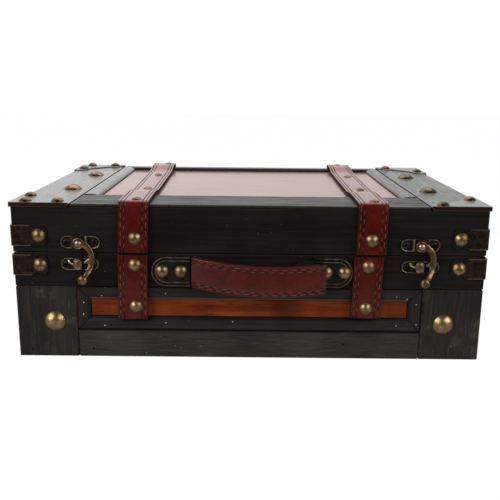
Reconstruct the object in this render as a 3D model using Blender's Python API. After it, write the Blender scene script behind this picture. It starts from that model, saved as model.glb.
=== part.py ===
# Wooden suitcase chest, lying flat: a boarded base and lid on two butt hinges, leather straps,
# sheet-metal corners, a leather handle in riveted caps and two swing-hook latches.
# Metres, +Z up, +X right as seen from the front, front face towards -Y.
# The origin is the middle of the underside.

import math

import bmesh
import bpy
from mathutils import Matrix, Vector

# Whole box
box_width = 0.331
box_depth = 0.225
box_height = 0.1117
base_height = 0.0770
seam_gap = 0.0005
fit_gap = 0.0003
edge_chamfer = 0.0005

# Boards of the base
side_wall = 0.010
back_wall = 0.010
front_wall = 0.0075
bottom_board = 0.005

# Facings on the front of the base
front_facing = 0.0045
front_rail_share = 0.3143
block_width = 0.0428
lower_board_share = 0.2584
frame_gap = 0.001
frame_width_share = 0.1182
front_panel_thickness = 0.0018

# Boards of the lid
lid_wall = 0.010
lid_facing = 0.0018
lid_panel_thickness = 0.005
top_board_width = 0.0405
top_front_rail = 0.0415
top_back_rail = 0.0055
moulding_gap = 0.0008
moulding_width = 0.0115
moulding_rise = 0.0006

# Domed nails and studs
stud_radius = 0.0043
stud_height = 0.0023
big_nail_radius = 0.0070
big_nail_height = 0.0034
nail_skirt = 0.0004
nail_sides = 12
big_nail_sides = 16
block_nail_in = 0.0264
block_nail_share = 0.3429
top_nails = {
    "left": {"inward": 0.0262, "depths": (0.0700, 0.1534)},
    "right": {"inward": 0.0249, "depths": (0.0734, 0.1559)},
}

# Leather straps over the lid and down the front and back
strap_width = 0.0210
strap_thickness = 0.0025
strap_corner = 0.0005
strap_edge = 0.0005
strap_end_gap = 0.0005
strap_reach = {"left": 0.0476, "right": 0.0454}
strap_dip = 0.0300
strap_rise_share = 0.75
lid_stud_share = 0.3158
base_stud_drops = (0.0072, 0.0376)
strap_studs = {
    "left": {"depths": (0.0052, 0.0680, 0.1515, 0.2123), "aside": (0.0026, 0.0015, 0.0010, 0.0040)},
    "right": {"depths": (0.0052, 0.0738, 0.1525, 0.2110), "aside": (0.0, 0.0012, 0.0010, -0.0010)},
}
front_studs_aside = {
    "left": {"lid": 0.0010, "base": (0.0015, 0.0020)},
    "right": {"lid": 0.0, "base": (0.0, 0.0)},
}
strap_place_shares = {
    "left": {
        "back_share": -0.2574, "top_share": -0.2426, "lid_low_share": -0.24622,
        "base_high_share": -0.24698, "base_low_share": -0.24955,
    },
    "right": {
        "back_share": 0.2634, "top_share": 0.2562, "lid_low_share": 0.25544,
        "base_high_share": 0.25166, "base_low_share": 0.24849,
    },
}

# Sheet-metal wraps round the upright corners
wrap_sheet = 0.0008
wrap_height_share = 0.435
wrap_band = 0.0122
wrap_waist = 0.0162
wrap_waist_share = 0.70
wrap_ear = 0.0218
wrap_end = 0.0243
wrap_end_share = 0.50
wrap_nail = 0.0185
wrap_bend = 0.0008
wrap_lid_share = 0.345
wrap_base_drop = 0.0088

# Sheet-metal caps on the four upper corners
cap_sheet = 0.0007
cap_front_leg = 0.0400
cap_side_leg = 0.0400
cap_leg_width = 0.0120
cap_lip = 0.0023
cap_front_nail = 0.0313
cap_side_nail = 0.0290
cap_corner_nail = 0.0088
cap_nail_in = 0.0056

# Swing-hook latches
latch_shift = 0.0012
latch_pivot_rise = 0.0067
plate_up = 0.0007
plate_right = {"left": 0.0011, "right": -0.0005}
latch_sheet = 0.0009
latch_plate_length = 0.0277
latch_plate_height = 0.0092
bridge_length = 0.0105
bridge_slope = 0.0008
bridge_rise = 0.0005
rivet_radius = 0.0012
rivet_head_radius = 0.0024
rivet_head_height = 0.0012
rivet_head_shares = ((1, 0), (0.8, 0.7), (0.4, 0.95), (0, 1))
ring_radius = 0.0035
arm_thickness = 0.0013
ball_down = 0.0247
arm_shares = (
    {"right": 0.1215, "down": 0.0121, "width": 0.1377},
    {"right": 0.1781, "down": 0.0445, "width": 0.1700},
    {"right": 0.2794, "down": 0.1215, "width": 0.1538},
    {"right": 0.3360, "down": 0.2429, "width": 0.1457},
    {"right": 0.3563, "down": 0.3725, "width": 0.1700},
    {"right": 0.3563, "down": 0.4980, "width": 0.1660},
    {"right": 0.3360, "down": 0.6194, "width": 0.1619},
    {"right": 0.2955, "down": 0.7409, "width": 0.1296},
    {"right": 0.2267, "down": 0.8502, "width": 0.1134},
    {"right": 0.1457, "down": 0.9393, "width": 0.1053},
)
arm_bend_share = 0.587
arm_edge_share = 0.25
ball_right = 0.0026
ball_radius = 0.0033
ball_half_thickness = 0.0022
spur_shares = (
    {"right": 0.3158, "down": 0.3846},
    {"right": 0.2429, "down": 0.4211},
    {"right": 0.1660, "down": 0.4980},
    {"right": 0.1336, "down": 0.5789},
    {"right": 0.2389, "down": 0.5951},
    {"right": 0.3158, "down": 0.6559},
)

# Keeper plate with its stamped tongue
keeper_drop = 0.0150
keeper_right = 0.0003
keeper_length = 0.0266
keeper_height = 0.0090
keeper_sheet = 0.0008
tab_left = 0.0036
tab_right = 0.0023
tab_top = 0.0109
tab_bottom = 0.0180
tab_corner = 0.0012
tab_thickness = 0.0008
tongue_root = 0.0082
tongue_width = 0.0032
tongue_rise_shares = (0.45, 0.5)
tongue_thickness_share = 0.8
tongue_edge_share = 0.1
ball_clearance = 0.0005

# Handle caps and the leather handle
handle_middle_share = 0.00485
handle_drop = 0.0121
cap_gap = 0.0007
cap_length = 0.0270
cap_radius = 0.0114
cap_floor = 0.0030
cap_bead_width = 0.0016
cap_bead_rise = 0.0009
cap_bead_edge_share = 0.3
cap_bead_insets = (0.0010, 0.0036)
cap_rivets = (0.0072, 0.0200)
pocket_wall = 0.0022
pocket_roof = 0.0008
shank_radius = 0.0014
tongue_strip = 0.0016
tongue_strip_width = 0.0172
tongue_strip_edge_share = 0.2
slot_width = 0.0040
slot_play = 0.0040
grip_width = 0.0215
grip_thickness = 0.0044
grip_edge = 0.0011
grip_bow = 0.0152
grip_sag = 0.0036
grip_shares = (
    {"x": -0.9406, "out": 0.2237, "drop": 0.0000},
    {"x": -0.8447, "out": 0.3816, "drop": 0.1111},
    {"x": -0.6621, "out": 0.5921, "drop": 0.3333},
    {"x": -0.4110, "out": 0.7895, "drop": 0.6111},
    {"x": -0.1142, "out": 0.9342, "drop": 0.8611},
    {"x": 0.2055, "out": 1.0000, "drop": 1.0000},
    {"x": 0.5023, "out": 0.9868, "drop": 1.0000},
    {"x": 0.7763, "out": 0.9211, "drop": 0.8889},
    {"x": 1.0046, "out": 0.8289, "drop": 0.7778},
    {"x": 1.1872, "out": 0.7237, "drop": 0.6944},
)
return_start_share = 0.8904
return_shares = (
    {"x": 0.8174, "out": 0.1447, "drop": 0.1111},
    {"x": 0.7352, "out": 0.3289, "drop": 0.3333},
    {"x": 0.6484, "out": 0.6053, "drop": 0.6667},
    {"x": 0.5137, "out": 0.8421, "drop": 0.9444},
)

# Butt hinges on the back
hinge_shift = 0.0003
hinge_length_share = 0.0909
hinge_leaf_share = 0.4624
hinge_sheet = 0.0012
hinge_web_inset_share = 0.1
hinge_offset = 0.0037
barrel_radius = 0.0024
pin_radius = 0.0010
pin_clearance = 0.00025
pin_head_radius = 0.0017
pin_head_length = 0.0008
barrel_sides = 16

# Sizes that follow from the ones above
half_width = box_width / 2
half_depth = box_depth / 2
front_rail_height = base_height * front_rail_share
lower_board_height = base_height * lower_board_share
frame_width = base_height * frame_width_share
block_nail_z = base_height * block_nail_share
lid_bottom = base_height + seam_gap
lid_height = box_height - lid_bottom
lid_wall_top = box_height - lid_facing - fit_gap
strap_places = {
    side: {level.removesuffix("_share"): box_width * share for level, share in levels.items()}
    for side, levels in strap_place_shares.items()
}
lid_stud_z = lid_bottom + lid_height * lid_stud_share
wrap_height = lid_height * wrap_height_share
wrap_lid_z = lid_bottom + lid_height * wrap_lid_share
wrap_base_z = base_height - wrap_base_drop
clear_middle = (strap_places["right"]["lid_low"] + strap_width / 2 + half_width - wrap_end) / 2
latch_x = clear_middle + latch_shift
latch_pivot_z = lid_bottom + latch_pivot_rise
hinge_x = clear_middle - hinge_shift
hinge_length = box_width * hinge_length_share
hinge_leaf = lid_height * hinge_leaf_share
handle_middle_x = box_width * handle_middle_share
handle_middle_z = base_height - handle_drop
cap_mouth = strap_places["right"]["base_high"] - strap_width / 2 - cap_gap - cap_length - handle_middle_x
arm_back = fit_gap + latch_sheet + bridge_rise + fit_gap
arm_middle = arm_back + arm_thickness / 2
tab_back = arm_back + arm_thickness + fit_gap
tab_front = tab_back + tab_thickness
ball_middle = tab_front + ball_clearance + ball_half_thickness


def finish(name, colour, roughness, metallic):
    material = bpy.data.materials.new(name)
    material.use_nodes = True
    shader = material.node_tree.nodes["Principled BSDF"]
    shader.inputs["Base Color"].default_value = (*colour, 1.0)
    shader.inputs["Roughness"].default_value = roughness
    shader.inputs["Metallic"].default_value = metallic
    return material


def clear_scene():
    for item in list(bpy.data.objects):
        bpy.data.objects.remove(item)


def box_shape(low, high, chamfer=edge_chamfer):
    """A board between two corners, its edges broken by a small chamfer."""
    low, high = Vector(low), Vector(high)
    shape = bmesh.new()
    bmesh.ops.create_cube(shape, size=1.0)
    bmesh.ops.scale(shape, vec=high - low, verts=shape.verts)
    bmesh.ops.translate(shape, vec=(low + high) / 2, verts=shape.verts)
    if chamfer:
        bmesh.ops.bevel(shape, geom=shape.edges[:], offset=chamfer, segments=1, affect='EDGES')
    return shape


def prism_shape(outline, low, high):
    """An outline in the XY plane, extruded from low to high along Z."""
    shape = bmesh.new()
    floor = shape.faces.new([shape.verts.new((x, y, low)) for x, y in outline])
    raised = bmesh.ops.extrude_face_region(shape, geom=[floor])["geom"]
    risen = [item for item in raised if isinstance(item, bmesh.types.BMVert)]
    bmesh.ops.translate(shape, vec=(0, 0, high - low), verts=risen)
    bmesh.ops.recalc_face_normals(shape, faces=shape.faces)
    return shape


def loft_shape(loops):
    """A closed body through loops with the same number of points, flat at both ends."""
    shape = bmesh.new()
    rings = [[shape.verts.new(point) for point in loop] for loop in loops]
    for ring, following in zip(rings, rings[1:]):
        for index in range(len(ring)):
            after = (index + 1) % len(ring)
            shape.faces.new((ring[index], ring[after], following[after], following[index]))
    shape.faces.new(rings[0])
    shape.faces.new(rings[-1])
    bmesh.ops.recalc_face_normals(shape, faces=shape.faces)
    return shape


def turned_shape(profile, sides):
    """A profile of (radius, height) points turned about Z; a radius of zero closes it."""
    loops = []
    poles = {}
    shape = bmesh.new()
    for step, (radius, height) in enumerate(profile):
        if radius:
            angles = [2 * math.pi * side / sides for side in range(sides)]
            points = [(radius * math.cos(angle), radius * math.sin(angle), height) for angle in angles]
            loops.append([shape.verts.new(point) for point in points])
        else:
            poles[step] = shape.verts.new((0, 0, height))
    for ring, following in zip(loops, loops[1:]):
        for index in range(sides):
            after = (index + 1) % sides
            shape.faces.new((ring[index], ring[after], following[after], following[index]))
    for ring, step in ((loops[0], 0), (loops[-1], len(profile) - 1)):
        if step in poles:
            for index in range(sides):
                shape.faces.new((ring[index], ring[(index + 1) % sides], poles[step]))
        else:
            shape.faces.new(ring)
    bmesh.ops.recalc_face_normals(shape, faces=shape.faces)
    return shape


def placed(shape, matrix):
    bmesh.ops.transform(shape, matrix=matrix, verts=shape.verts)
    return shape


def joined(shapes):
    """Several separate shapes in one mesh, to be used as one tool."""
    together = bmesh.new()
    for shape in shapes:
        mesh = bpy.data.meshes.new("joined")
        shape.to_mesh(mesh)
        together.from_mesh(mesh)
        bpy.data.meshes.remove(mesh)
        shape.free()
    return together


def combined(shape, tool, operation):
    """The shape after an exact union with, or a cut by, the tool."""
    things = []
    for part in (shape, tool):
        mesh = bpy.data.meshes.new("combined")
        part.to_mesh(mesh)
        part.free()
        thing = bpy.data.objects.new("combined", mesh)
        bpy.context.scene.collection.objects.link(thing)
        things.append(thing)
    body, other = things
    modifier = body.modifiers.new("combine", 'BOOLEAN')
    modifier.operation = operation
    modifier.solver = 'EXACT'
    modifier.object = other
    evaluated = body.evaluated_get(bpy.context.evaluated_depsgraph_get())
    result = bmesh.new()
    result.from_mesh(evaluated.to_mesh())
    evaluated.to_mesh_clear()
    for thing in things:
        mesh = thing.data
        bpy.data.objects.remove(thing)
        bpy.data.meshes.remove(mesh)
    return result


def fused(shape, *tools):
    for tool in tools:
        shape = combined(shape, tool, 'UNION')
    return shape


def cut(shape, *tools):
    for tool in tools:
        shape = combined(shape, tool, 'DIFFERENCE')
    return shape


def made(name, shape, material, axis_point=None):
    """An object from a shape; one that turns or slides gets its origin on its joint."""
    if axis_point is not None:
        bmesh.ops.translate(shape, vec=-Vector(axis_point), verts=shape.verts)
    mesh = bpy.data.meshes.new(name)
    shape.to_mesh(mesh)
    shape.free()
    mesh.materials.append(material)
    mesh.shade_smooth()
    mesh.set_sharp_from_angle(angle=math.radians(35))
    thing = bpy.data.objects.new(name, mesh)
    bpy.context.scene.collection.objects.link(thing)
    if axis_point is not None:
        thing.location = axis_point
    return thing


def face_frame(turn, reach):
    """Right, up and out on a side of the box, turned round Z from its front."""
    upright = Matrix(((1, 0, 0, 0), (0, 0, -1, -reach), (0, 1, 0, 0), (0, 0, 0, 1)))
    return Matrix.Rotation(turn, 4, 'Z') @ upright


front_of_box = face_frame(0, half_depth)
back_of_box = face_frame(math.pi, half_depth)
top_of_box = Matrix.Identity(4)


def dome(radius, height, sides):
    """A round nail head whose skirt is sunk into what it holds."""
    sphere = (radius ** 2 + height ** 2) / (2 * height)
    opening = math.asin(radius / sphere)
    rings = 3
    profile = [(radius, -nail_skirt)]
    for step in range(rings):
        angle = opening * (1 - step / rings)
        profile.append((sphere * math.sin(angle), sphere * math.cos(angle) - sphere + height))
    profile.append((0, height))
    return turned_shape(profile, sides)


def stud_on(frame, right, up, out):
    return placed(dome(stud_radius, stud_height, nail_sides), frame @ Matrix.Translation((right, up, out)))


def big_nail_on(frame, right, up, out):
    nail = dome(big_nail_radius, big_nail_height, big_nail_sides)
    return placed(nail, frame @ Matrix.Translation((right, up, out)))


def swept_shape(stations, corner):
    """A strip of chamfered rectangular section through stations of centre, side and out vectors.

    The side and out vectors are half as long as the strip is wide and thick there.
    """
    loops = []
    for centre, side, out in stations:
        trim_side = side * (1 - corner / side.length)
        trim_out = out * (1 - corner / out.length)
        loops.append([
            centre - side - trim_out, centre - trim_side - out,
            centre + trim_side - out, centre + side - trim_out,
            centre + side + trim_out, centre + trim_side + out,
            centre - trim_side + out, centre - side + trim_out,
        ])
    return loft_shape(loops)


def arc_points(centre, radius, start, end, steps):
    return [
        (centre[0] + radius * math.cos(start + (end - start) * step / steps),
         centre[1] + radius * math.sin(start + (end - start) * step / steps))
        for step in range(steps + 1)
    ]


def moulding(name, start, inward, outward, length, width, height_shares, mitres, material):
    """A moulding laid along a frame, its profile falling inwards and its ends mitred or square."""
    inward, outward = Vector(inward), Vector(outward)
    along = inward.cross(outward)
    profile = [(across * width, rise * outward.length) for across, rise in height_shares]
    outward = outward.normalized()
    loops = []
    for place, mitre in ((0, mitres[0]), (length, -mitres[1])):
        loops.append([
            Vector(start) + along.normalized() * (place + mitre * across) + inward * across + outward * rise
            for across, rise in profile
        ])
    return made(name, loft_shape(loops), material)


# Boards of the base

def base_boards(wood, panel_wood, inner_wood):
    front_back = -half_depth + front_facing + fit_gap + front_wall
    side_start = front_back + fit_gap
    side_end = half_depth - back_wall - fit_gap
    board_front = -half_depth + front_facing + fit_gap
    board = box_shape((-half_width, board_front, 0), (half_width, front_back, base_height))
    made("base_front_board", board, wood)
    back = box_shape((-half_width, half_depth - back_wall, 0), (half_width, half_depth, base_height))
    made("base_back_board", back, wood)
    for side, name in ((-1, "base_left_board"), (1, "base_right_board")):
        inner, outer = sorted((side * (half_width - side_wall), side * half_width))
        made(name, box_shape((inner, side_start, 0), (outer, side_end, base_height)), wood)
    reach = half_width - side_wall - fit_gap
    bottom = box_shape((-reach, side_start, 0), (reach, side_end, bottom_board))
    made("base_bottom_board", bottom, inner_wood)

    rail_low = base_height - front_rail_height
    facing_back = -half_depth + front_facing
    rail = box_shape((-half_width, -half_depth, rail_low), (half_width, facing_back, base_height))
    made("front_upper_rail", rail, wood)
    block_top = rail_low - fit_gap
    for side, name in ((-1, "front_left_block"), (1, "front_right_block")):
        inner, outer = sorted((side * (half_width - block_width), side * half_width))
        block = box_shape((inner, -half_depth, 0), (outer, facing_back, block_top))
        nail = big_nail_on(front_of_box, side * (half_width - block_nail_in), block_nail_z, 0)
        made(name, fused(block, nail), wood)

    opening = half_width - block_width - fit_gap
    lower = box_shape((-opening, -half_depth, 0), (opening, facing_back, lower_board_height))
    made("front_lower_board", lower, wood)
    frame_low = lower_board_height + frame_gap
    frame_mouldings(opening, frame_low, block_top, facing_back, wood)
    inset = frame_width + fit_gap
    panel_back = facing_back
    panel = box_shape(
        (-opening + inset, panel_back - front_panel_thickness, frame_low + inset),
        (opening - inset, panel_back, block_top - inset))
    made("front_inset_panel", panel, panel_wood)


def frame_mouldings(opening, low, high, back, wood):
    """Four mitred mouldings round the inset panel of the front."""
    height_shares = ((0, 0), (0, 1), (0.45, 1), (0.66, 0.9), (0.85, 0.68), (1, 0.42), (1, 0))
    thickness = back + half_depth
    run = 2 * opening
    rise = high - low
    out = (0, -thickness, 0)
    sides = (
        ("frame_top_moulding", (opening, back, high - fit_gap), (0, 0, -1), run),
        ("frame_bottom_moulding", (-opening, back, low), (0, 0, 1), run),
        ("frame_left_moulding", (-opening, back, high - fit_gap), (1, 0, 0), rise - fit_gap),
        ("frame_right_moulding", (opening, back, low), (-1, 0, 0), rise - fit_gap),
    )
    for name, start, inward, length in sides:
        slack = Vector(inward).cross(Vector(out)).normalized() * fit_gap
        moulding(name, Vector(start) + slack, inward, out, length - 2 * fit_gap, frame_width,
                 height_shares, (1, 1), wood)


# Boards of the lid

def lid_boards(wood, panel_wood):
    reach = half_depth - lid_wall
    for low, high, end in ((-half_depth, -reach, "front"), (reach, half_depth, "back")):
        board = box_shape((-half_width, low, lid_bottom), (half_width, high, lid_wall_top))
        made(f"lid_{end}_board", board, wood)
    end = reach - fit_gap
    for side, name in ((-1, "lid_left_board"), (1, "lid_right_board")):
        inner, outer = sorted((side * (half_width - lid_wall), side * half_width))
        made(name, box_shape((inner, -end, lid_bottom), (outer, end, lid_wall_top)), wood)
    across = half_width - lid_wall - fit_gap
    panel = box_shape((-across, -end, lid_wall_top - lid_panel_thickness), (across, end, lid_wall_top))
    made("lid_top_panel", panel, panel_wood)

    facing_low = lid_wall_top + fit_gap
    board_inner = half_width - top_board_width
    for side, name in ((-1, "left"), (1, "right")):
        inner, outer = sorted((side * board_inner, side * half_width))
        board = box_shape((inner, -half_depth, facing_low), (outer, half_depth, box_height))
        across = side * (half_width - top_nails[name]["inward"])
        nails = [
            big_nail_on(top_of_box, across, depth - half_depth, box_height)
            for depth in top_nails[name]["depths"]
        ]
        made(f"top_{name}_board", fused(board, joined(nails)), wood)
    rail_end = board_inner - fit_gap
    front_rail_back = -half_depth + top_front_rail
    back_rail_front = half_depth - top_back_rail
    rails = (
        ("top_front_rail", -half_depth, front_rail_back),
        ("top_back_rail", back_rail_front, half_depth),
    )
    for name, front, back in rails:
        made(name, box_shape((-rail_end, front, facing_low), (rail_end, back, box_height)), wood)
    span = (front_rail_back + fit_gap, back_rail_front - fit_gap)
    lid_mouldings(board_inner - moulding_gap, span, facing_low, wood)


def lid_mouldings(reach, span, low, wood):
    """Rounded mouldings along both sides and the back of the sunk top panel."""
    front, back = span
    height_shares = ((0, 0), (0, 0.8), (0.12, 0.95), (0.4, 1), (0.7, 0.9), (0.9, 0.62), (1, 0.25), (1, 0))
    out = (0, 0, box_height + moulding_rise - low)
    run = back - front
    pieces = (
        ("top_left_moulding", (-reach, back, low), (1, 0, 0), run - fit_gap, (1, 0)),
        ("top_right_moulding", (reach, front, low), (-1, 0, 0), run - fit_gap, (0, 1)),
        ("top_back_moulding", (reach, back, low), (0, -1, 0), 2 * reach - 2 * fit_gap, (1, 1)),
    )
    for name, start, inward, length, mitres in pieces:
        slack = Vector(inward).cross(Vector(out)).normalized() * (fit_gap if mitres[0] else 0)
        place = Vector(start) + slack
        moulding(name, place, inward, out, length, moulding_width, height_shares, mitres, wood)


# Leather straps

def strap_station(x, y, z, out):
    side = Vector((strap_width / 2, 0, 0))
    return Vector((x, y, z)), side, Vector(out).normalized() * (strap_thickness / 2)


def lid_strap_path():
    """Places (y, z) and outward directions along the middle of a strap over the lid."""
    lift = fit_gap + strap_thickness / 2
    bend = strap_corner + lift
    bend_steps = 4
    dip_steps = 6
    end = lid_bottom + strap_end_gap
    panel_level = lid_wall_top + lift
    top_level = box_height + lift
    back_level = top_level + moulding_rise
    path = [((-half_depth - lift, end), (-1, 0))]
    front_centre = (-half_depth + strap_corner, box_height - strap_corner)
    for step in range(bend_steps + 1):
        angle = math.pi - math.pi / 2 * step / bend_steps
        out = (math.cos(angle), math.sin(angle))
        path.append(((front_centre[0] + bend * out[0], front_centre[1] + bend * out[1]), out))
    dip_start = -half_depth + top_front_rail
    rise_end = half_depth - top_back_rail - moulding_width * strap_rise_share
    for start, finish_y, from_z, to_z in (
            (dip_start, dip_start + strap_dip, top_level, panel_level),
            (rise_end - strap_dip, rise_end, panel_level, back_level)):
        for step in range(dip_steps + 1):
            share = step / dip_steps
            ease = share * share * (3 - 2 * share)
            slope = (to_z - from_z) / strap_dip * 6 * share * (1 - share)
            place = (start + (finish_y - start) * share, from_z + (to_z - from_z) * ease)
            path.append((place, (-slope, 1)))
    back_centre = (-front_centre[0], front_centre[1] + moulding_rise)
    for step in range(bend_steps + 1):
        angle = math.pi / 2 - math.pi / 2 * step / bend_steps
        out = (math.cos(angle), math.sin(angle))
        path.append(((back_centre[0] + bend * out[0], back_centre[1] + bend * out[1]), out))
    path.append(((half_depth + lift, end), (1, 0)))
    return path


def strap_lean(places, y, z):
    """The strap lies a little askew: its middle at a depth and height on the lid."""
    back = min(1, max(0, (y + half_depth) / box_depth))
    down = max(0, (box_height - z) / lid_height)
    top = places["top"] + (places["back"] - places["top"]) * back
    return top + (places["lid_low"] - places["top"]) * down


def lid_strap(side, places, leather):
    stations = []
    for (y, z), (out_y, out_z) in lid_strap_path():
        stations.append(strap_station(strap_lean(places, y, z), y, z, (0, out_y, out_z)))
    out = fit_gap + strap_thickness
    rail_level = box_height + out
    panel_level = lid_wall_top + out
    levels = (rail_level, panel_level, panel_level, rail_level + moulding_rise)
    front_x = strap_lean(places, -half_depth, lid_stud_z) + front_studs_aside[side]["lid"]
    studs = [
        stud_on(front_of_box, front_x, lid_stud_z, out),
        stud_on(back_of_box, -strap_lean(places, half_depth, lid_stud_z), lid_stud_z, out),
    ]
    for depth, aside, level in zip(strap_studs[side]["depths"], strap_studs[side]["aside"], levels):
        y = depth - half_depth
        studs.append(stud_on(top_of_box, strap_lean(places, y, box_height) + aside, y, level))
    made(f"lid_strap_{side}", fused(swept_shape(stations, strap_edge), joined(studs)), leather)


def base_strap(end, side, frame, face_sign, leather):
    """A short strap from the seam down over the rail, on the front or the back of the base."""
    places = strap_places[side]
    asides = front_studs_aside[side]["base"]
    high = base_height - strap_end_gap
    foot = base_height - strap_reach[side]
    middle = fit_gap + strap_thickness / 2

    def lean(z):
        share = (high - z) / (high - foot)
        return face_sign * (places["base_high"] + (places["base_low"] - places["base_high"]) * share)

    stations = []
    for z in (high, foot):
        out = Vector((0, 0, strap_thickness / 2))
        stations.append((Vector((lean(z), z, middle)), Vector((strap_width / 2, 0, 0)), out))
    strap = placed(swept_shape(stations, strap_edge), frame)
    out = fit_gap + strap_thickness
    studs = [
        stud_on(frame, lean(high - drop) + face_sign * aside, high - drop, out)
        for drop, aside in zip(base_stud_drops, asides)
    ]
    made(f"base_strap_{end}_{side}", fused(strap, joined(studs)), leather)


# Sheet-metal corners

def wrap_outline():
    """Half of a wrap's outline laid flat, from the bend to its eared end, top and bottom edge."""
    half = wrap_height / 2
    upper = [(wrap_band, half)]
    waist = half * wrap_waist_share
    upper.append(((wrap_band + wrap_waist) / 2, (half + waist * 2) / 3))
    upper.append((wrap_waist, waist))
    upper.append(((wrap_waist + wrap_ear) / 2, (half + waist * 2) / 3))
    upper.append((wrap_ear, half))
    upper.append((wrap_end, half * wrap_end_share))
    return upper


def corner_wrap(name, corner_turn, reach_right, reach_front, middle_z, metal):
    """A band bent round an upright corner, with an eared end and a nail on each face."""
    upper = wrap_outline()
    lower = [(s, -h) for s, h in reversed(upper)]
    right_half = upper + lower
    left_half = [(-s, -h) for s, h in right_half]
    flat = prism_shape(right_half + left_half, 0, wrap_sheet)
    inner = wrap_bend + fit_gap
    quarter = inner * math.pi / 2
    bend_steps = 4
    for step in range(bend_steps + 1):
        place = quarter * (step / bend_steps - 0.5)
        geometry = flat.verts[:] + flat.edges[:] + flat.faces[:]
        bmesh.ops.bisect_plane(flat, geom=geometry, dist=edge_chamfer / 100,
                               plane_co=(place, 0, 0), plane_no=(1, 0, 0))
    for vertex in flat.verts:
        along, height, out = vertex.co
        if abs(along) < quarter / 2:
            angle = math.pi / 4 + along / inner
            radius = inner + out
            vertex.co = (-inner + radius * math.sin(angle), -inner + radius * math.cos(angle), height)
        elif along > 0:
            vertex.co = (out, -inner - (along - quarter / 2), height)
        else:
            vertex.co = (-inner - (-along - quarter / 2), out, height)
    outside = Vector((fit_gap, fit_gap, 0))
    nails = []
    for direction in (0, 1):
        nail = dome(stud_radius, stud_height, nail_sides)
        if direction:
            turn = Matrix.Rotation(math.pi / 2, 4, 'Y')
            place = (wrap_sheet, -wrap_nail, 0)
        else:
            turn = Matrix.Rotation(-math.pi / 2, 4, 'X')
            place = (-wrap_nail, wrap_sheet, 0)
        nails.append(placed(nail, Matrix.Translation(place) @ turn))
    bmesh.ops.recalc_face_normals(flat, faces=flat.faces)
    wrap = fused(flat, joined(nails))
    bmesh.ops.translate(wrap, vec=outside, verts=wrap.verts)
    corner = Vector((reach_right, reach_front, 0))
    if corner_turn in (1, 3):
        corner = Vector((reach_front, reach_right, 0))
    turn = Matrix.Rotation(corner_turn * math.pi / 2, 4, 'Z')
    lift = Matrix.Translation((0, 0, middle_z))
    made(name, placed(wrap, lift @ turn @ Matrix.Translation(corner)), metal)


def corner_cap(name, side, end, with_corner_nail, metal):
    """A cap over an upper corner of the lid: a flat with two rounded legs and a lip down each face."""
    proud = fit_gap + cap_sheet
    arc_steps = 5
    width = cap_leg_width + proud
    front_leg = cap_front_leg + proud
    side_leg = cap_side_leg + proud
    outline = [(0, 0), (front_leg, 0)]
    outline += arc_points((front_leg - width, 0), width, 0, math.pi / 2, arc_steps)[1:]
    outline += arc_points((0, side_leg - width), width, 0, math.pi / 2, arc_steps)
    body = prism_shape(outline, box_height - cap_lip, box_height + proud)
    inside = 2 * (cap_front_leg + cap_side_leg)
    lid_block = box_shape((cap_sheet, cap_sheet, 0), (inside, inside, box_height + fit_gap), chamfer=0)
    places = [(proud + cap_front_nail, proud + cap_nail_in), (proud + cap_nail_in, proud + cap_side_nail)]
    if with_corner_nail:
        places.append((proud + cap_corner_nail, proud + cap_nail_in))
    nails = [
        placed(dome(stud_radius, stud_height, nail_sides), Matrix.Translation((x, y, box_height + proud)))
        for x, y in places
    ]
    cap = fused(cut(body, lid_block), joined(nails))
    origin = Vector((-half_width - proud, -half_depth - proud, 0))
    bmesh.ops.translate(cap, vec=origin, verts=cap.verts)
    bmesh.ops.scale(cap, vec=(-side, -end, 1), verts=cap.verts)
    if side != end:
        bmesh.ops.reverse_faces(cap, faces=cap.faces)
    made(name, cap, metal)


# Latches

def obround(length, height, middle_x, middle_y):
    radius = height / 2
    straight = length / 2 - radius
    right = arc_points((middle_x + straight, middle_y), radius, -math.pi / 2, math.pi / 2, 8)
    left = arc_points((middle_x - straight, middle_y), radius, math.pi / 2, 3 * math.pi / 2, 8)
    return right + left


def latch_plate(name, frame, shift, metal):
    """The upper plate: a raised bridge in the middle carries the hook's rivet."""
    top = fit_gap + latch_sheet
    plate = prism_shape(obround(latch_plate_length, latch_plate_height, shift, plate_up), fit_gap, top)
    foot = bridge_length / 2
    shoulder = foot - bridge_slope
    bridge_outline = (
        (-foot, -nail_skirt), (foot, -nail_skirt),
        (shoulder, bridge_rise), (-shoulder, bridge_rise),
    )
    half = latch_plate_height / 2 - edge_chamfer
    bridge = prism_shape(bridge_outline, -half, half)
    placed(bridge, Matrix.Translation((0, plate_up, top)) @ Matrix.Rotation(math.pi / 2, 4, 'X'))
    head_foot = arm_back + arm_thickness + fit_gap
    profile = [(rivet_radius, fit_gap + latch_sheet / 2), (rivet_radius, head_foot)]
    for across, rise in rivet_head_shares:
        profile.append((rivet_head_radius * across, head_foot + rivet_head_height * rise))
    rivet = turned_shape(profile, nail_sides)
    made(name, placed(fused(plate, bridge, rivet), frame), metal)


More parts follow.
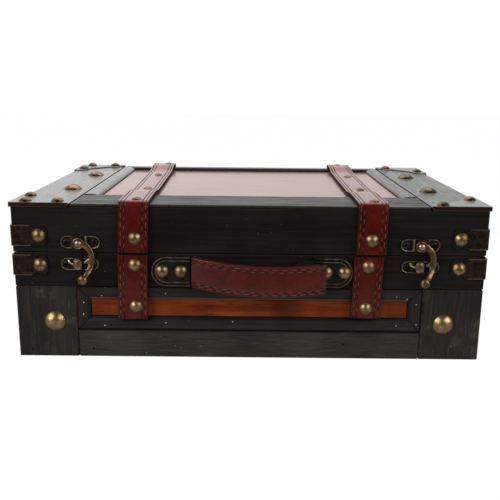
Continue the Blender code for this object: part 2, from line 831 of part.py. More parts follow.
def keeper(name, frame, metal):
    """The lower plate with a stamped tongue; its upright tab leaves room behind for the hook's spur."""
    top = fit_gap + keeper_sheet
    plate = prism_shape(obround(keeper_length, keeper_height, keeper_right, -keeper_drop), fit_gap, top)
    middle_y = -(tab_top + tab_bottom) / 2
    half = Vector((0, tongue_width / 2, 0))
    across, rise = tongue_rise_shares
    rise_path = (
        (-tongue_root, top - nail_skirt),
        (-tongue_root + (tongue_root - tab_left) * across, top + (tab_back - top) * rise),
        (-tab_left + tab_corner, tab_back + tab_thickness / 2),
    )
    outward = Vector((-1, 0, 1)).normalized() * (tab_thickness * tongue_thickness_share / 2)
    stations = [
        (Vector((x, middle_y, out)), half, outward)
        for x, out in rise_path
    ]
    tongue = swept_shape(stations, tab_thickness * tongue_edge_share)
    corners = (
        (tab_right - tab_corner, -tab_bottom + tab_corner, -math.pi / 2),
        (tab_right - tab_corner, -tab_top - tab_corner, 0),
        (-tab_left + tab_corner, -tab_top - tab_corner, math.pi / 2),
        (-tab_left + tab_corner, -tab_bottom + tab_corner, math.pi),
    )
    outline = []
    for x, y, start in corners:
        outline += arc_points((x, y), tab_corner, start, start + math.pi / 2, 3)
    tab = prism_shape(outline, tab_back, tab_front)
    made(name, placed(fused(plate, fused(tongue, tab)), frame), metal)


def swing_hook(name, frame, pivot, metal):
    """A cast hook: a ring on the rivet, a bowed arm with a spur, and a ball to push it by."""
    hole = rivet_radius + fit_gap
    steps = 16
    ring = prism_shape(arc_points((0, 0), ring_radius, 0, 2 * math.pi * (1 - 1 / steps), steps - 1),
                       arm_back, arm_back + arm_thickness - fit_gap / 2)
    stations = []
    points = [(ball_down * item["right"], -ball_down * item["down"]) for item in arm_shares]
    points.append((ball_right, -ball_down))
    for index, item in enumerate(arm_shares):
        before = Vector(points[max(index - 1, 0)])
        after = Vector(points[index + 1])
        along = (after - before).normalized()
        side = Vector((-along.y, along.x, 0)) * (ball_down * item["width"] / 2)
        share = max(0, (item["down"] - arm_bend_share) / (1 - arm_bend_share))
        lift = (ball_middle - arm_middle) * share * share * (3 - 2 * share)
        centre = Vector((*points[index], arm_middle + fit_gap / 4 + lift))
        stations.append((centre, side, Vector((0, 0, arm_thickness / 2 - fit_gap / 4))))
    arm = swept_shape(stations, arm_thickness * arm_edge_share)
    spur_outline = [
        (ball_down * item["right"], -ball_down * item["down"])
        for item in reversed(spur_shares)
    ]
    spur = prism_shape(spur_outline, arm_back + fit_gap / 3, arm_back + arm_thickness - fit_gap / 3)
    ball = turned_shape([
        (ball_radius * math.cos(angle), ball_half_thickness * math.sin(angle))
        for angle in [math.pi * (step / 8 - 0.5) for step in range(1, 8)]
    ], nail_sides)
    placed(ball, Matrix.Translation((ball_right, -ball_down, ball_middle)))
    rim = arc_points((0, 0), hole, 0, 2 * math.pi * (1 - 1 / steps), steps - 1)
    bore = prism_shape(rim, 0, ball_middle)
    hook = cut(fused(arm, ring, spur, ball), bore)
    made(name, placed(hook, frame), metal, axis_point=pivot)


def latches(brass):
    for side, name in ((-1, "left"), (1, "right")):
        frame = front_of_box @ Matrix.Translation((side * latch_x, latch_pivot_z, 0))
        pivot = frame @ Vector((0, 0, arm_middle))
        latch_plate(f"latch_plate_{name}", frame, plate_right[name], brass)
        keeper(f"latch_keeper_{name}", frame, brass)
        swing_hook(f"latch_hook_{name}", frame, pivot, brass)


# Handle

def cap_outline(inset, mouth_overrun=0.0):
    """A cap's outline, round at the outer end and open at the mouth, which lies on x = 0."""
    radius = cap_radius - inset
    centre = cap_length - cap_radius
    arc = arc_points((centre, 0), radius, -math.pi / 2, math.pi / 2, 12)
    return [(-mouth_overrun, -radius)] + arc + [(-mouth_overrun, radius)]


def handle_cap(name, frame, metal):
    """A pressed cap with a double rim; the handle's tongue runs in the pocket under it."""
    body = prism_shape(cap_outline(0), fit_gap, cap_floor)
    beads = []
    for inset in cap_bead_insets:
        path = [Vector((x, y, cap_floor)) for x, y in cap_outline(inset)]
        stations = []
        for index, point in enumerate(path):
            before = path[max(index - 1, 0)]
            after = path[min(index + 1, len(path) - 1)]
            along = (after - before).normalized()
            side = Vector((-along.y, along.x, 0)) * (cap_bead_width / 2)
            stations.append((point, side, Vector((0, 0, cap_bead_rise))))
        beads.append(swept_shape(stations, cap_bead_width * cap_bead_edge_share))
    body = fused(body, joined(beads))
    pocket_top = cap_floor - pocket_roof
    pocket = prism_shape(cap_outline(pocket_wall, mouth_overrun=cap_radius), -cap_floor, pocket_top)
    rivets = []
    for place in cap_rivets:
        head = dome(stud_radius, stud_height, nail_sides)
        rivets.append(placed(head, Matrix.Translation((place, 0, cap_floor))))
    shanks = []
    for place in cap_rivets:
        shank = turned_shape(((shank_radius, fit_gap), (shank_radius, cap_floor + nail_skirt)), nail_sides)
        shanks.append(placed(shank, Matrix.Translation((place, 0, 0))))
    cap = fused(cut(body, pocket), joined(rivets), joined(shanks))
    made(name, placed(cap, frame), metal)


def handle_stations(table, width, thickness):
    """Stations of a strip that lies in the face frame, bowed outwards and dropping a little."""
    points = [Vector((item["x"], -item["drop"], item["out"])) for item in table]
    stations = []
    for index, point in enumerate(points):
        before = points[max(index - 1, 0)]
        after = points[min(index + 1, len(points) - 1)]
        along = (after - before).normalized()
        out = Vector((-along.z, 0, along.x)).normalized()
        if out.z < 0:
            out = -out
        stations.append((point, Vector((0, width / 2, 0)), out * (thickness / 2)))
    return stations


def real_stations(shares):
    """A table of shares in real sizes: along the handle, out from the face and down."""
    return tuple(
        {"x": cap_mouth * item["x"], "out": grip_bow * item["out"], "drop": grip_sag * item["drop"]}
        for item in shares
    )


def handle(leather):
    frame = front_of_box @ Matrix.Translation((handle_middle_x, handle_middle_z, 0))
    strip_middle = fit_gap * 2 + tongue_strip / 2
    tongue_end = cap_mouth + cap_rivets[1] - shank_radius - 2 * fit_gap
    grip_table = real_stations(grip_shares)
    grip = swept_shape(handle_stations(grip_table, grip_width, grip_thickness), grip_edge)
    first = grip_table[0]
    left_table = (
        {"x": -tongue_end, "out": strip_middle, "drop": 0},
        {"x": -cap_mouth, "out": strip_middle, "drop": 0},
        {"x": -cap_mouth + tongue_strip, "out": strip_middle, "drop": 0},
        {"x": first["x"] + grip_thickness, "out": first["out"] + tongue_strip / 2, "drop": 0},
    )
    right_table = (
        {"x": tongue_end - slot_play, "out": strip_middle, "drop": 0},
        {"x": cap_mouth * return_start_share, "out": strip_middle, "drop": 0},
    ) + real_stations(return_shares)
    corner = tongue_strip * tongue_strip_edge_share
    left = swept_shape(handle_stations(left_table, tongue_strip_width, tongue_strip), corner)
    right = swept_shape(handle_stations(right_table, tongue_strip_width, tongue_strip), corner)
    strip = fused(grip, left, right)
    slots = []
    for side in (-1, 1):
        middle = side * (cap_mouth + cap_rivets[0]) - slot_play / 2
        slots.append(prism_shape(obround(slot_play + slot_width, slot_width, middle, 0), 0, cap_floor))
    made("handle_strap", placed(cut(strip, *slots), frame), leather, axis_point=frame @ Vector((0, 0, 0)))


def handle_caps(metal):
    middle = front_of_box @ Matrix.Translation((handle_middle_x, handle_middle_z, 0))
    right = middle @ Matrix.Translation((cap_mouth, 0, 0))
    left = middle @ Matrix.Translation((-cap_mouth, 0, 0)) @ Matrix.Rotation(math.pi, 4, 'Z')
    handle_cap("handle_cap_right", right, metal)
    handle_cap("handle_cap_left", left, metal)


# Hinges

def hinge_leaf_shape(direction, knuckles):
    """A leaf on one side of the seam with tubes at its knuckles, in the frame of the hinge's axis."""
    clear = barrel_radius + fit_gap
    leaf_back = -hinge_offset + fit_gap
    start, end = sorted((direction * clear, direction * hinge_leaf))
    half = hinge_length / 2
    web_inset = hinge_sheet * hinge_web_inset_share
    leaf_front = leaf_back + hinge_sheet
    plate = box_shape((-half, start, leaf_back), (half, end, leaf_front), chamfer=hinge_sheet / 4)
    full_turn = 2 * math.pi * (1 - 1 / barrel_sides)
    outer = arc_points((0, 0), barrel_radius, 0, full_turn, barrel_sides - 1)
    inner = arc_points((0, 0), pin_radius + pin_clearance, 0, full_turn, barrel_sides - 1)
    tubes = []
    webs = []
    for low, high in knuckles:
        tube = prism_shape(outer, low, high)
        tubes.append(placed(tube, Matrix.Rotation(math.pi / 2, 4, 'Y')))
        web_ends = sorted((0, direction * (clear + hinge_sheet)))
        web_low = (low, web_ends[0], leaf_back + web_inset)
        web_high = (high, web_ends[1], leaf_front - web_inset + fit_gap)
        webs.append(box_shape(web_low, web_high, chamfer=0))
    bore = prism_shape(inner, -hinge_length, hinge_length)
    placed(bore, Matrix.Rotation(math.pi / 2, 4, 'Y'))
    return cut(fused(plate, joined(webs), joined(tubes)), bore)


def hinges(metal):
    half = hinge_length / 2
    middle = hinge_length / 6
    outer_knuckles = ((-half, -middle - fit_gap), (middle + fit_gap, half))
    inner_knuckle = ((-middle, middle),)
    for side, name in ((-1, "right"), (1, "left")):
        frame = back_of_box @ Matrix.Translation((side * hinge_x, base_height + seam_gap / 2, hinge_offset))
        made(f"hinge_base_leaf_{name}", placed(hinge_leaf_shape(-1, outer_knuckles), frame), metal)
        lid_leaf = placed(hinge_leaf_shape(1, inner_knuckle), frame)
        made(f"hinge_lid_leaf_{name}", lid_leaf, metal, axis_point=frame @ Vector((0, 0, 0)))
        pin = turned_shape((
            (pin_head_radius, -half - fit_gap - pin_head_length),
            (pin_head_radius, -half - fit_gap),
            (pin_radius, -half - fit_gap),
            (pin_radius, half + fit_gap),
            (pin_head_radius, half + fit_gap),
            (pin_head_radius, half + fit_gap + pin_head_length),
        ), barrel_sides)
        placed(pin, frame @ Matrix.Rotation(math.pi / 2, 4, 'Y'))
        made(f"hinge_pin_{name}", pin, metal)


def corners(metal):
    proud = (("lid", half_width, wrap_lid_z), ("base", half_width, wrap_base_z))
    places = (("back_right", 0), ("back_left", 1), ("front_left", 2), ("front_right", 3))
    for part, reach, middle_z in proud:
        for place, turn in places:
            corner_wrap(f"{part}_wrap_{place}", turn, reach, half_depth, middle_z, metal)
    for side, side_name in ((-1, "left"), (1, "right")):
        for end, end_name in ((-1, "front"), (1, "back")):
            corner_cap(f"corner_cap_{end_name}_{side_name}", side, end, side < 0, metal)


def hang_lid():
    """Everything that lifts with the lid hangs on an empty on the hinges' axis."""
    lifted = ("lid_", "top_", "corner_cap_", "latch_plate_", "latch_hook_", "hinge_lid_")
    axis = bpy.data.objects.new("axis_of_lid", None)
    bpy.context.scene.collection.objects.link(axis)
    axis.location = (0, half_depth + hinge_offset, base_height + seam_gap / 2)
    axis.empty_display_size = hinge_leaf
    for thing in list(bpy.data.objects):
        if thing.name.startswith(lifted):
            thing.parent = axis
            thing.matrix_parent_inverse = Matrix.Translation(-axis.location)


def main():
    clear_scene()
    dark_wood = finish("dark_stained_wood", (0.020, 0.018, 0.016), 0.45, 0.0)
    lid_wood = finish("varnished_dark_wood", (0.016, 0.014, 0.013), 0.35, 0.0)
    inner_wood = finish("bare_inner_wood", (0.22, 0.13, 0.07), 0.7, 0.0)
    front_stain = finish("orange_stained_wood", (0.30, 0.045, 0.008), 0.35, 0.0)
    top_stain = finish("red_stained_wood", (0.22, 0.06, 0.04), 0.35, 0.0)
    leather = finish("oxblood_leather", (0.09, 0.010, 0.007), 0.5, 0.0)
    brass = finish("antique_brass", (0.35, 0.24, 0.13), 0.35, 1.0)
    copper = finish("aged_copper", (0.06, 0.035, 0.025), 0.45, 1.0)
    base_boards(dark_wood, front_stain, inner_wood)
    lid_boards(lid_wood, top_stain)
    for side, places in strap_places.items():
        lid_strap(side, places, leather)
        base_strap("front", side, front_of_box, 1, leather)
        base_strap("back", side, back_of_box, -1, leather)
    corners(copper)
    latches(brass)
    handle_caps(brass)
    handle(leather)
    hinges(brass)
    print(len(bpy.data.objects), "sub-parts")
    hang_lid()


main()
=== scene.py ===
import math
import random

import bpy
from mathutils import Matrix, Vector


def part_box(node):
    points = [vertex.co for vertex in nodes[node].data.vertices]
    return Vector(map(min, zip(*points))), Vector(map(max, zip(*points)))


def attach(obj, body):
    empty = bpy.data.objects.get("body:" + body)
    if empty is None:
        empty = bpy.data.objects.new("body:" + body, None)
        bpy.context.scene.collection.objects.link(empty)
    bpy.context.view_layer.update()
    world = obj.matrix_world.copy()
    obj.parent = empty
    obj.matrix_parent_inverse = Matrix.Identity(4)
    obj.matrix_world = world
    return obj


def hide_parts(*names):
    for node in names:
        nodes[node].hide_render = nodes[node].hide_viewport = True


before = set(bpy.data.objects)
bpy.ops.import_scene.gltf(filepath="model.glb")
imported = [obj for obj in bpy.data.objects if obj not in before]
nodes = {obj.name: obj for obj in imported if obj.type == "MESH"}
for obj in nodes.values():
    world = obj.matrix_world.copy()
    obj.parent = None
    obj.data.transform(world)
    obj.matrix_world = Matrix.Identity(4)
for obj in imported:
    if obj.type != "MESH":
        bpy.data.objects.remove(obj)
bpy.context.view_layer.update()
print("frame loaded")

# sizes shared with the CAD, in metres
box = {"width": 0.331, "depth": 0.225, "height": 0.1117, "seam": 0.077, "lidBottom": 0.0775,
       "panelTop": 0.1096, "backRise": 0.0006, "gap": 0.0003}
front = -box["depth"] / 2


def worked(operation, flip=False):
    # a method that adds one Math node
    def work(wire, other=0.0):
        first, second = (other, wire) if flip else (wire, other)
        return wire.finish.node("ShaderNodeMath", {"operation": operation}, {0: first, 1: second})
    return work


class Wire:                      # one output socket that takes part in plain arithmetic
    def __init__(self, finish, socket):
        self.finish = finish
        self.socket = socket

    __add__ = worked("ADD")
    __radd__ = worked("ADD", flip=True)
    __sub__ = worked("SUBTRACT")
    __rsub__ = worked("SUBTRACT", flip=True)
    __mul__ = worked("MULTIPLY")
    __rmul__ = worked("MULTIPLY", flip=True)
    __pow__ = worked("POWER")
    low = worked("MINIMUM")
    high = worked("MAXIMUM")
    size = worked("ABSOLUTE")


class Finish:                    # a material, or the world, and the nodes it is made of
    def __init__(self, name, kept=bpy.data.materials):
        self.owner = kept.new(name)
        self.owner.use_nodes = True
        self.tree = self.owner.node_tree
        self.tree.nodes.clear()

    def node(self, kind, settings=None, inputs=None, output=0):
        made = self.tree.nodes.new(kind)
        for key, value in (settings or {}).items():
            setattr(made, key, value)
        for key, value in (inputs or {}).items():
            if isinstance(value, Wire):
                self.tree.links.new(value.socket, made.inputs[key])
            elif made.inputs[key].type == "RGBA":
                made.inputs[key].default_value = (*value, 1)
            else:
                made.inputs[key].default_value = value
        return Wire(self, made.outputs[output]) if made.outputs else None

    def split(self, vector):
        made = self.node("ShaderNodeSeparateXYZ", None, {0: vector}).socket.node
        return [Wire(self, socket) for socket in made.outputs]

    def place(self):
        return self.node("ShaderNodeTexCoord", output="Object")

    def facing(self):            # 1 on a face that looks straight up, 0 on an upright one
        return self.split(self.node("ShaderNodeTexCoord", output="Normal"))[2]

    def scaled(self, vector, scale, shift=(0, 0, 0)):
        return self.node("ShaderNodeMapping", None, {"Vector": vector, "Scale": scale, "Location": shift})

    def noise(self, vector, scale, detail, roughness, distortion=0.0):
        return self.node("ShaderNodeTexNoise", None, {"Vector": vector, "Scale": scale, "Detail": detail,
                                                      "Roughness": roughness, "Distortion": distortion})

    def cells(self, vector, scale, feature="F1"):
        return self.node("ShaderNodeTexVoronoi", {"feature": feature}, {"Vector": vector, "Scale": scale})

    def step(self, value, low, high, bottom=0.0, top=1.0):
        inputs = {"Value": value, "From Min": low, "From Max": high, "To Min": bottom, "To Max": top}
        return self.node("ShaderNodeMapRange", {"interpolation_type": "SMOOTHSTEP"}, inputs)

    def fade(self, value, low, high, top=1.0):
        return self.step(value, low, high, top, 0.0)

    def blend(self, share, under, over):
        return self.node("ShaderNodeMix", {"data_type": "RGBA"}, {0: share, 6: under, 7: over}, output=2)

    def bump(self, height, distance, strength):
        inputs = {"Height": height, "Distance": distance, "Strength": strength}
        return self.node("ShaderNodeBump", None, inputs)

    def surface(self, **inputs):
        named = {key.replace("_", " "): value for key, value in inputs.items()}
        shader = self.node("ShaderNodeBsdfPrincipled", None, named)
        self.node("ShaderNodeOutputMaterial", None, {"Surface": shader})
        return self.owner


black = (0.0016, 0.0015, 0.0014)
# what a stained board has unless its own tone says otherwise
woodCommon = {"wearAndSheen": 0.25, "rough": 0.48, "shine": 0.18, "grain": 1.0, "dust": 0.3, "joint": 0.0,
              "jointWidth": 0.0004, "uneven": 0.12, "smudge": 0.0, "across": 420.0, "run": 10.0, "wax": 0.0,
              "rub": (0.0002, 0.001), "ragged": 0.0022, "relief": 0.00026}
# the frame falls away towards the panel, and painted shade darkens it there: from where to where, how much
# and to what
panelShade = {"fade": (0.0, 0.0052, 0.78), "tint": (0.0026, 0.0023, 0.0021)}
dustTone = (0.3, 0.29, 0.28)
woodTones = {
    "lid": {"dark": (0.0052, 0.0045, 0.004), "light": (0.0125, 0.0105, 0.0092), "wornAndSheen": (0.04, 0.026, 0.017),
            "wearAndSheen": 0.3, "rough": 0.42, "shine": 0.12, "grain": 0.6, "dust": 0.22},
    "rail": {"dark": (0.0048, 0.0042, 0.0039), "light": (0.0105, 0.009, 0.008), "wornAndSheen": (0.042, 0.028, 0.018),
             "rough": 0.44, "shine": 0.1, "grain": 0.6, "dust": 0.25},
    "lower": {"dark": (0.0165, 0.0145, 0.0122), "light": (0.043, 0.036, 0.0284), "wornAndSheen": (0.09, 0.066, 0.046),
              "wearAndSheen": 0.35, "dust": 0.6, "joint": 0.85, "jointWidth": 0.0005, "uneven": 0.15,
              "across": 760.0, "run": 60.0},
    "block": {"dark": (0.0102, 0.009, 0.0077), "light": (0.0288, 0.0236, 0.0189),
              "wornAndSheen": (0.105, 0.075, 0.053), "wearAndSheen": 0.75, "dust": 0.6, "joint": 0.85, "jointWidth": 0.0005,
              "uneven": 0.15, "run": 20.0, "smudge": 0.5},
    "frame": {"dark": (0.0085, 0.0078, 0.0071), "light": (0.0215, 0.0188, 0.0165),
              "wornAndSheen": (0.075, 0.062, 0.05), "rough": 0.38, "shine": 0.2, "grain": 0.5, "dust": 0.35,
              "joint": 0.9, "jointWidth": 0.0006},
    "topRail": {"dark": (0.011, 0.0105, 0.01), "light": (0.024, 0.022, 0.02), "wornAndSheen": (0.07, 0.056, 0.044),
                "rough": 0.5, "shine": 0.05, "grain": 1.6, "uneven": 0.3,
                "wax": 0.71, "waxRough": 0.36, "waxIor": 1.42, "drawn": 0.9, "facing": (0.55, 0.9)},
    "top": {"dark": (0.013, 0.012, 0.0115), "light": (0.032, 0.029, 0.027), "wornAndSheen": (0.085, 0.068, 0.052),
            "rough": 0.4, "shine": 0.05, "uneven": 0.3,
            "wax": 1.0, "waxRough": 0.22, "waxIor": 1.6, "drawn": 0.22, "facing": (0.55, 0.9)},
    # painted shade: a darker copy of the top's wood for the back moulding, which stands in shadow
    "shade": {"dark": (0.006, 0.0056, 0.0053), "light": (0.0125, 0.0115, 0.0105), "wornAndSheen": (0.05, 0.04, 0.032),
              "wearAndSheen": 0.15, "rough": 0.6, "shine": 0.03, "grain": 0.6, "dust": 0.2, "uneven": 0.1,
              "wax": 0.9, "waxRough": 0.3, "waxIor": 1.5, "drawn": 0.3, "facing": (0.985, 0.998)},
}
woodTones["topRight"] = {**woodTones["top"], "wax": 0.8, "waxRough": 0.24, "drawn": 0.4}
# painted shade: a darker copy of the block's wood for the right block, which gets less light
woodTones["blockRightShaded"] = {**woodTones["block"], "dark": (0.0079, 0.007, 0.006), "smudge": 0.26,
                           "light": (0.021, 0.0175, 0.0141), "wornAndSheen": (0.095, 0.066, 0.045)}


def stretched(across, run, along):
    # scales of a grain that runs along one axis
    return [run if axis == along else across for axis in range(3)]


def nearEdge(finish, where, low, high):
    # distance from the nearest edge of a board between two corners
    a, b, c = [(value - bottom).low(top - value)
               for value, bottom, top in zip(finish.split(where), low, high)]
    return a.low(b).high(a.high(b).low(c))


def stainedWood(name, tone, low, high, along, seed, line=None, inner=None):
    # near-black stain over visible grain, rubbed brown on the arrises, with painted shade in the joints:
    # black along every edge of the board
    look = {**woodCommon, **woodTones[tone]}
    finish = Finish(name)
    where = finish.place()
    shift = (seed * 1.7, seed * 2.3, seed * 3.1)

    def spread(scales, *settings):
        return finish.noise(finish.scaled(where, scales, shift), 1.0, *settings)

    streaks = spread(stretched(look["across"], look["run"], along), 6, 0.62, 0.6)
    pores = spread(stretched(1100.0, 45.0, along), 3, 0.6)
    broad = spread((22, 22, 22), 3, 0.5)
    ragged = spread((420, 420, 420), 4, 0.7)
    patches = finish.step(spread((60, 60, 60), 4, 0.7), 0.56, 0.7)
    tint = finish.step(streaks * 0.55 + broad * 0.45, 0.34, 0.66)
    colour = finish.blend(tint, look["dark"], look["light"])
    pored = finish.step(pores, 0.58, 0.72)
    colour = finish.blend(pored * look["grain"] * 0.45, colour, look["wornAndSheen"])
    edge = nearEdge(finish, where, low, high)
    rubbed = finish.fade(edge + (ragged - 0.5) * look["ragged"], *look["rub"])
    wornAndSheen = (rubbed * look["wearAndSheen"]).high(patches * pored * look["wearAndSheen"])
    if look["smudge"]:
        wornAndSheen = wornAndSheen.high(patches * broad * 2 * look["smudge"])
    colour = finish.blend(wornAndSheen, colour, look["wornAndSheen"])
    # painted shade: the board turns black within jointWidth of each of its edges
    width = look["jointWidth"]
    joint = finish.fade(edge, width * 0.6, width * 1.3, look["joint"])
    colour = finish.blend(joint, colour, black)
    if inner:
        # painted shade: the frame darkens towards the sunk panel
        halfWide, middle, halfHigh = inner
        x, _, z = finish.split(where)
        away = (x.size() - halfWide).high((z - middle).size() - halfHigh)
        colour = finish.blend(finish.fade(away, *panelShade["fade"]), colour, panelShade["tint"])
    onLine = 0.0
    if line:
        axis, place, reach, paint = line
        gap = (finish.split(where)[axis] - place).size()
        onLine = finish.fade(gap, reach * 0.8, reach * 1.1)
        colour = finish.blend(onLine, colour, paint)
    specks = finish.cells(finish.scaled(where, (150, 150, 150), shift), 1.0)
    colour = finish.blend(finish.fade(specks, 0.03, 0.06, look["dust"]), colour, dustTone)
    uneven = (streaks - 0.5) * look["uneven"] + (broad - 0.5) * 0.1
    rough = look["rough"] + uneven + wornAndSheen * 0.12 + joint * 0.4 + onLine * 0.5
    normal = finish.bump(streaks * 0.6 + pores * 0.4, look["relief"] * look["grain"], 0.8)
    wax = {}
    if look["wax"]:
        # waxed on the faces that look up, and dull in the drawn grain and on a joint's line
        up = finish.step(finish.facing(), *look["facing"])
        drawn = finish.fade(streaks * 0.5 + pores * 0.5, 0.42, 0.58, look["drawn"])
        wax = {"Coat_Weight": up * (1 - drawn) * look["wax"] * (1 - onLine),
               "Coat_Roughness": look["waxRough"], "Coat_IOR": look["waxIor"]}
    return finish.surface(Base_Color=colour, Roughness=rough, Normal=normal, IOR=1.5,
                          Specular_IOR_Level=look["shine"], **wax)


varnishTones = {
    "orange": {"deep": (0.085, 0.0105, 0.0022), "bright": (0.23, 0.045, 0.0078),
               "dark": (0.04, 0.0065, 0.0022), "rough": 0.33, "bump": 0.00016, "shine": 0.1, "fleck": 75.0,
               "flecks": 0.8},
    "red": {"deep": (0.235, 0.1, 0.072), "bright": (0.32, 0.148, 0.108), "dark": (0.175, 0.066, 0.048),
            "rough": 0.2, "bump": 0.00001, "shine": 0.68, "fleck": 26.0, "flecks": 0.6},
    "inner": {"deep": (0.26, 0.16, 0.085), "bright": (0.44, 0.3, 0.175), "dark": (0.16, 0.09, 0.045),
              "rough": 0.62, "bump": 0.00018, "shine": 0.4, "fleck": 26.0, "flecks": 0.55},
}
# the knot's place and fades, and where the painted shade at the panel's ends starts and is full
orangeMarks = {"knotAt": 0.03, "knotFades": (0.002, 0.016), "ends": (0.0975, 0.1)}


def varnishedWood(name, tone, seed):
    # figured wood whose grain runs along X
    look = varnishTones[tone]
    finish = Finish(name)
    where = finish.place()
    shift = (seed * 0.9, seed * 1.9, seed * 2.7)
    waves = finish.noise(finish.scaled(where, stretched(120.0, 7.0, 0), shift), 1.0, 5, 0.55, 1.2)
    pores = finish.noise(finish.scaled(where, stretched(700.0, look["fleck"], 0), shift), 1.0, 4, 0.65)
    cloud = finish.noise(finish.scaled(where, (26, 26, 26), shift), 1.0, 3, 0.5)
    tint = finish.step(waves * 0.6 + cloud * 0.4, 0.32, 0.68)
    colour = finish.blend(tint, look["deep"], look["bright"])
    colour = finish.blend(finish.step(pores, 0.54, 0.7) * look["flecks"], colour, look["dark"])
    if tone == "orange":
        # a redder knot right of the middle, and painted shade at its ends
        x = finish.split(where)[0]
        away = (x - orangeMarks["knotAt"]).size() + (cloud - 0.5) * 0.03
        knot = finish.fade(away, *orangeMarks["knotFades"], 0.55)
        ends = finish.step(x.size(), *orangeMarks["ends"], 0.0, 0.3)
        colour = finish.blend(knot.high(ends), colour, look["dark"])
    rough = look["rough"] + (waves - 0.5) * 0.14 + (pores - 0.5) * 0.16
    normal = finish.bump(pores * 0.5 + waves * 0.5, look["bump"], 0.8)
    return finish.surface(Base_Color=colour, Roughness=rough, Normal=normal, IOR=1.5,
                          Specular_IOR_Level=look["shine"])


leatherTones = {
    # the face's worn colour, laid on its faces that look up, is painted sheen
    "face": {"deep": (0.047, 0.0034, 0.001), "bright": (0.09, 0.0074, 0.0024), "wornAndSheen": (0.185, 0.018, 0.011),
             "channel": (0.016, 0.0026, 0.0014), "rough": 0.36, "grain": 0.7, "shine": 0.03, "gloss": 1.0,
             "coatRough": 0.2, "rows": (0.3, 0.414), "wearAndSheen": 0.8, "dulled": 0.0},
    "grip": {"deep": (0.047, 0.005, 0.0026), "bright": (0.088, 0.01, 0.0052), "wornAndSheen": (0.088, 0.01, 0.0052),
             "channel": (0.02, 0.004, 0.0024), "rough": 0.36, "grain": 0.7, "shine": 0.1, "gloss": 1.0,
             "coatRough": 0.26, "rows": (0.337, 0.419), "wearAndSheen": 0.0, "dulled": 0.7},
    "edge": {"deep": (0.005, 0.004, 0.0038), "bright": (0.011, 0.008, 0.007), "rough": 0.7, "grain": 0.6,
             "shine": 0.1, "gloss": 0.0, "coatRough": 0.4, "rows": ()},
}


def leather(name, tone):
    # glossy leather, with painted sheen that turns its faces that look up a lighter red, and dark and dull in
    # the stitches' channels
    look = leatherTones[tone]
    finish = Finish(name)
    where = finish.place()
    cloud = finish.noise(where, 70.0, 4, 0.6)
    mottle = finish.noise(where, 420.0, 4, 0.6)
    pebbles = finish.cells(where, 1500.0, "DISTANCE_TO_EDGE")
    creases = finish.cells(where, 330.0, "DISTANCE_TO_EDGE")
    colour = finish.blend(finish.step(cloud * 0.6 + mottle * 0.4, 0.34, 0.66), look["deep"], look["bright"])
    pits = finish.fade(pebbles, 0.0, 0.16, 0.22)
    colour = finish.blend(pits, colour, tuple(value * 0.45 for value in look["deep"]))
    rough = look["rough"] + (mottle - 0.5) * 0.14 + (cloud - 0.5) * 0.1 + pits * 0.2
    gloss = look["gloss"]
    if look["rows"]:
        up = finish.step(finish.facing(), 0.55, 0.9)
        # painted sheen: faces that look up turn a lighter red
        colour = finish.blend(up * look["wearAndSheen"], colour, look["wornAndSheen"])
        across = (finish.split(finish.node("ShaderNodeTexCoord", output="UV"))[1] - 0.5).size()
        inner, outer = look["rows"]
        channel = finish.fade((across - inner).size().low((across - outer).size()), 0.008, 0.03)
        colour = finish.blend(channel * 0.85, colour, look["channel"])
        rough = rough + channel * 0.35
        gloss = (1 - up * look["dulled"]) * (1 - channel * 0.92) * gloss
    relief = finish.step(pebbles, 0.0, 0.25) * 0.55 + finish.step(creases, 0.0, 0.06) * 0.25 + mottle * 0.4
    normal = finish.bump(relief, 0.00006 * look["grain"], 0.8)
    return finish.surface(Base_Color=colour, Roughness=rough, Normal=normal, IOR=1.5, Coat_Weight=gloss,
                          Coat_Roughness=look["coatRough"], Coat_IOR=1.32, Specular_IOR_Level=look["shine"])


def threadFinish():
    finish = Finish("stitchThread")
    fibres = finish.noise(finish.place(), 1800.0, 3, 0.6)
    colour = finish.blend(finish.step(fibres, 0.35, 0.65), (0.05, 0.037, 0.021), (0.13, 0.096, 0.056))
    return finish.surface(Base_Color=colour, Roughness=0.75, Normal=finish.bump(fibres, 0.00008, 0.8),
                          Specular_IOR_Level=0.2)


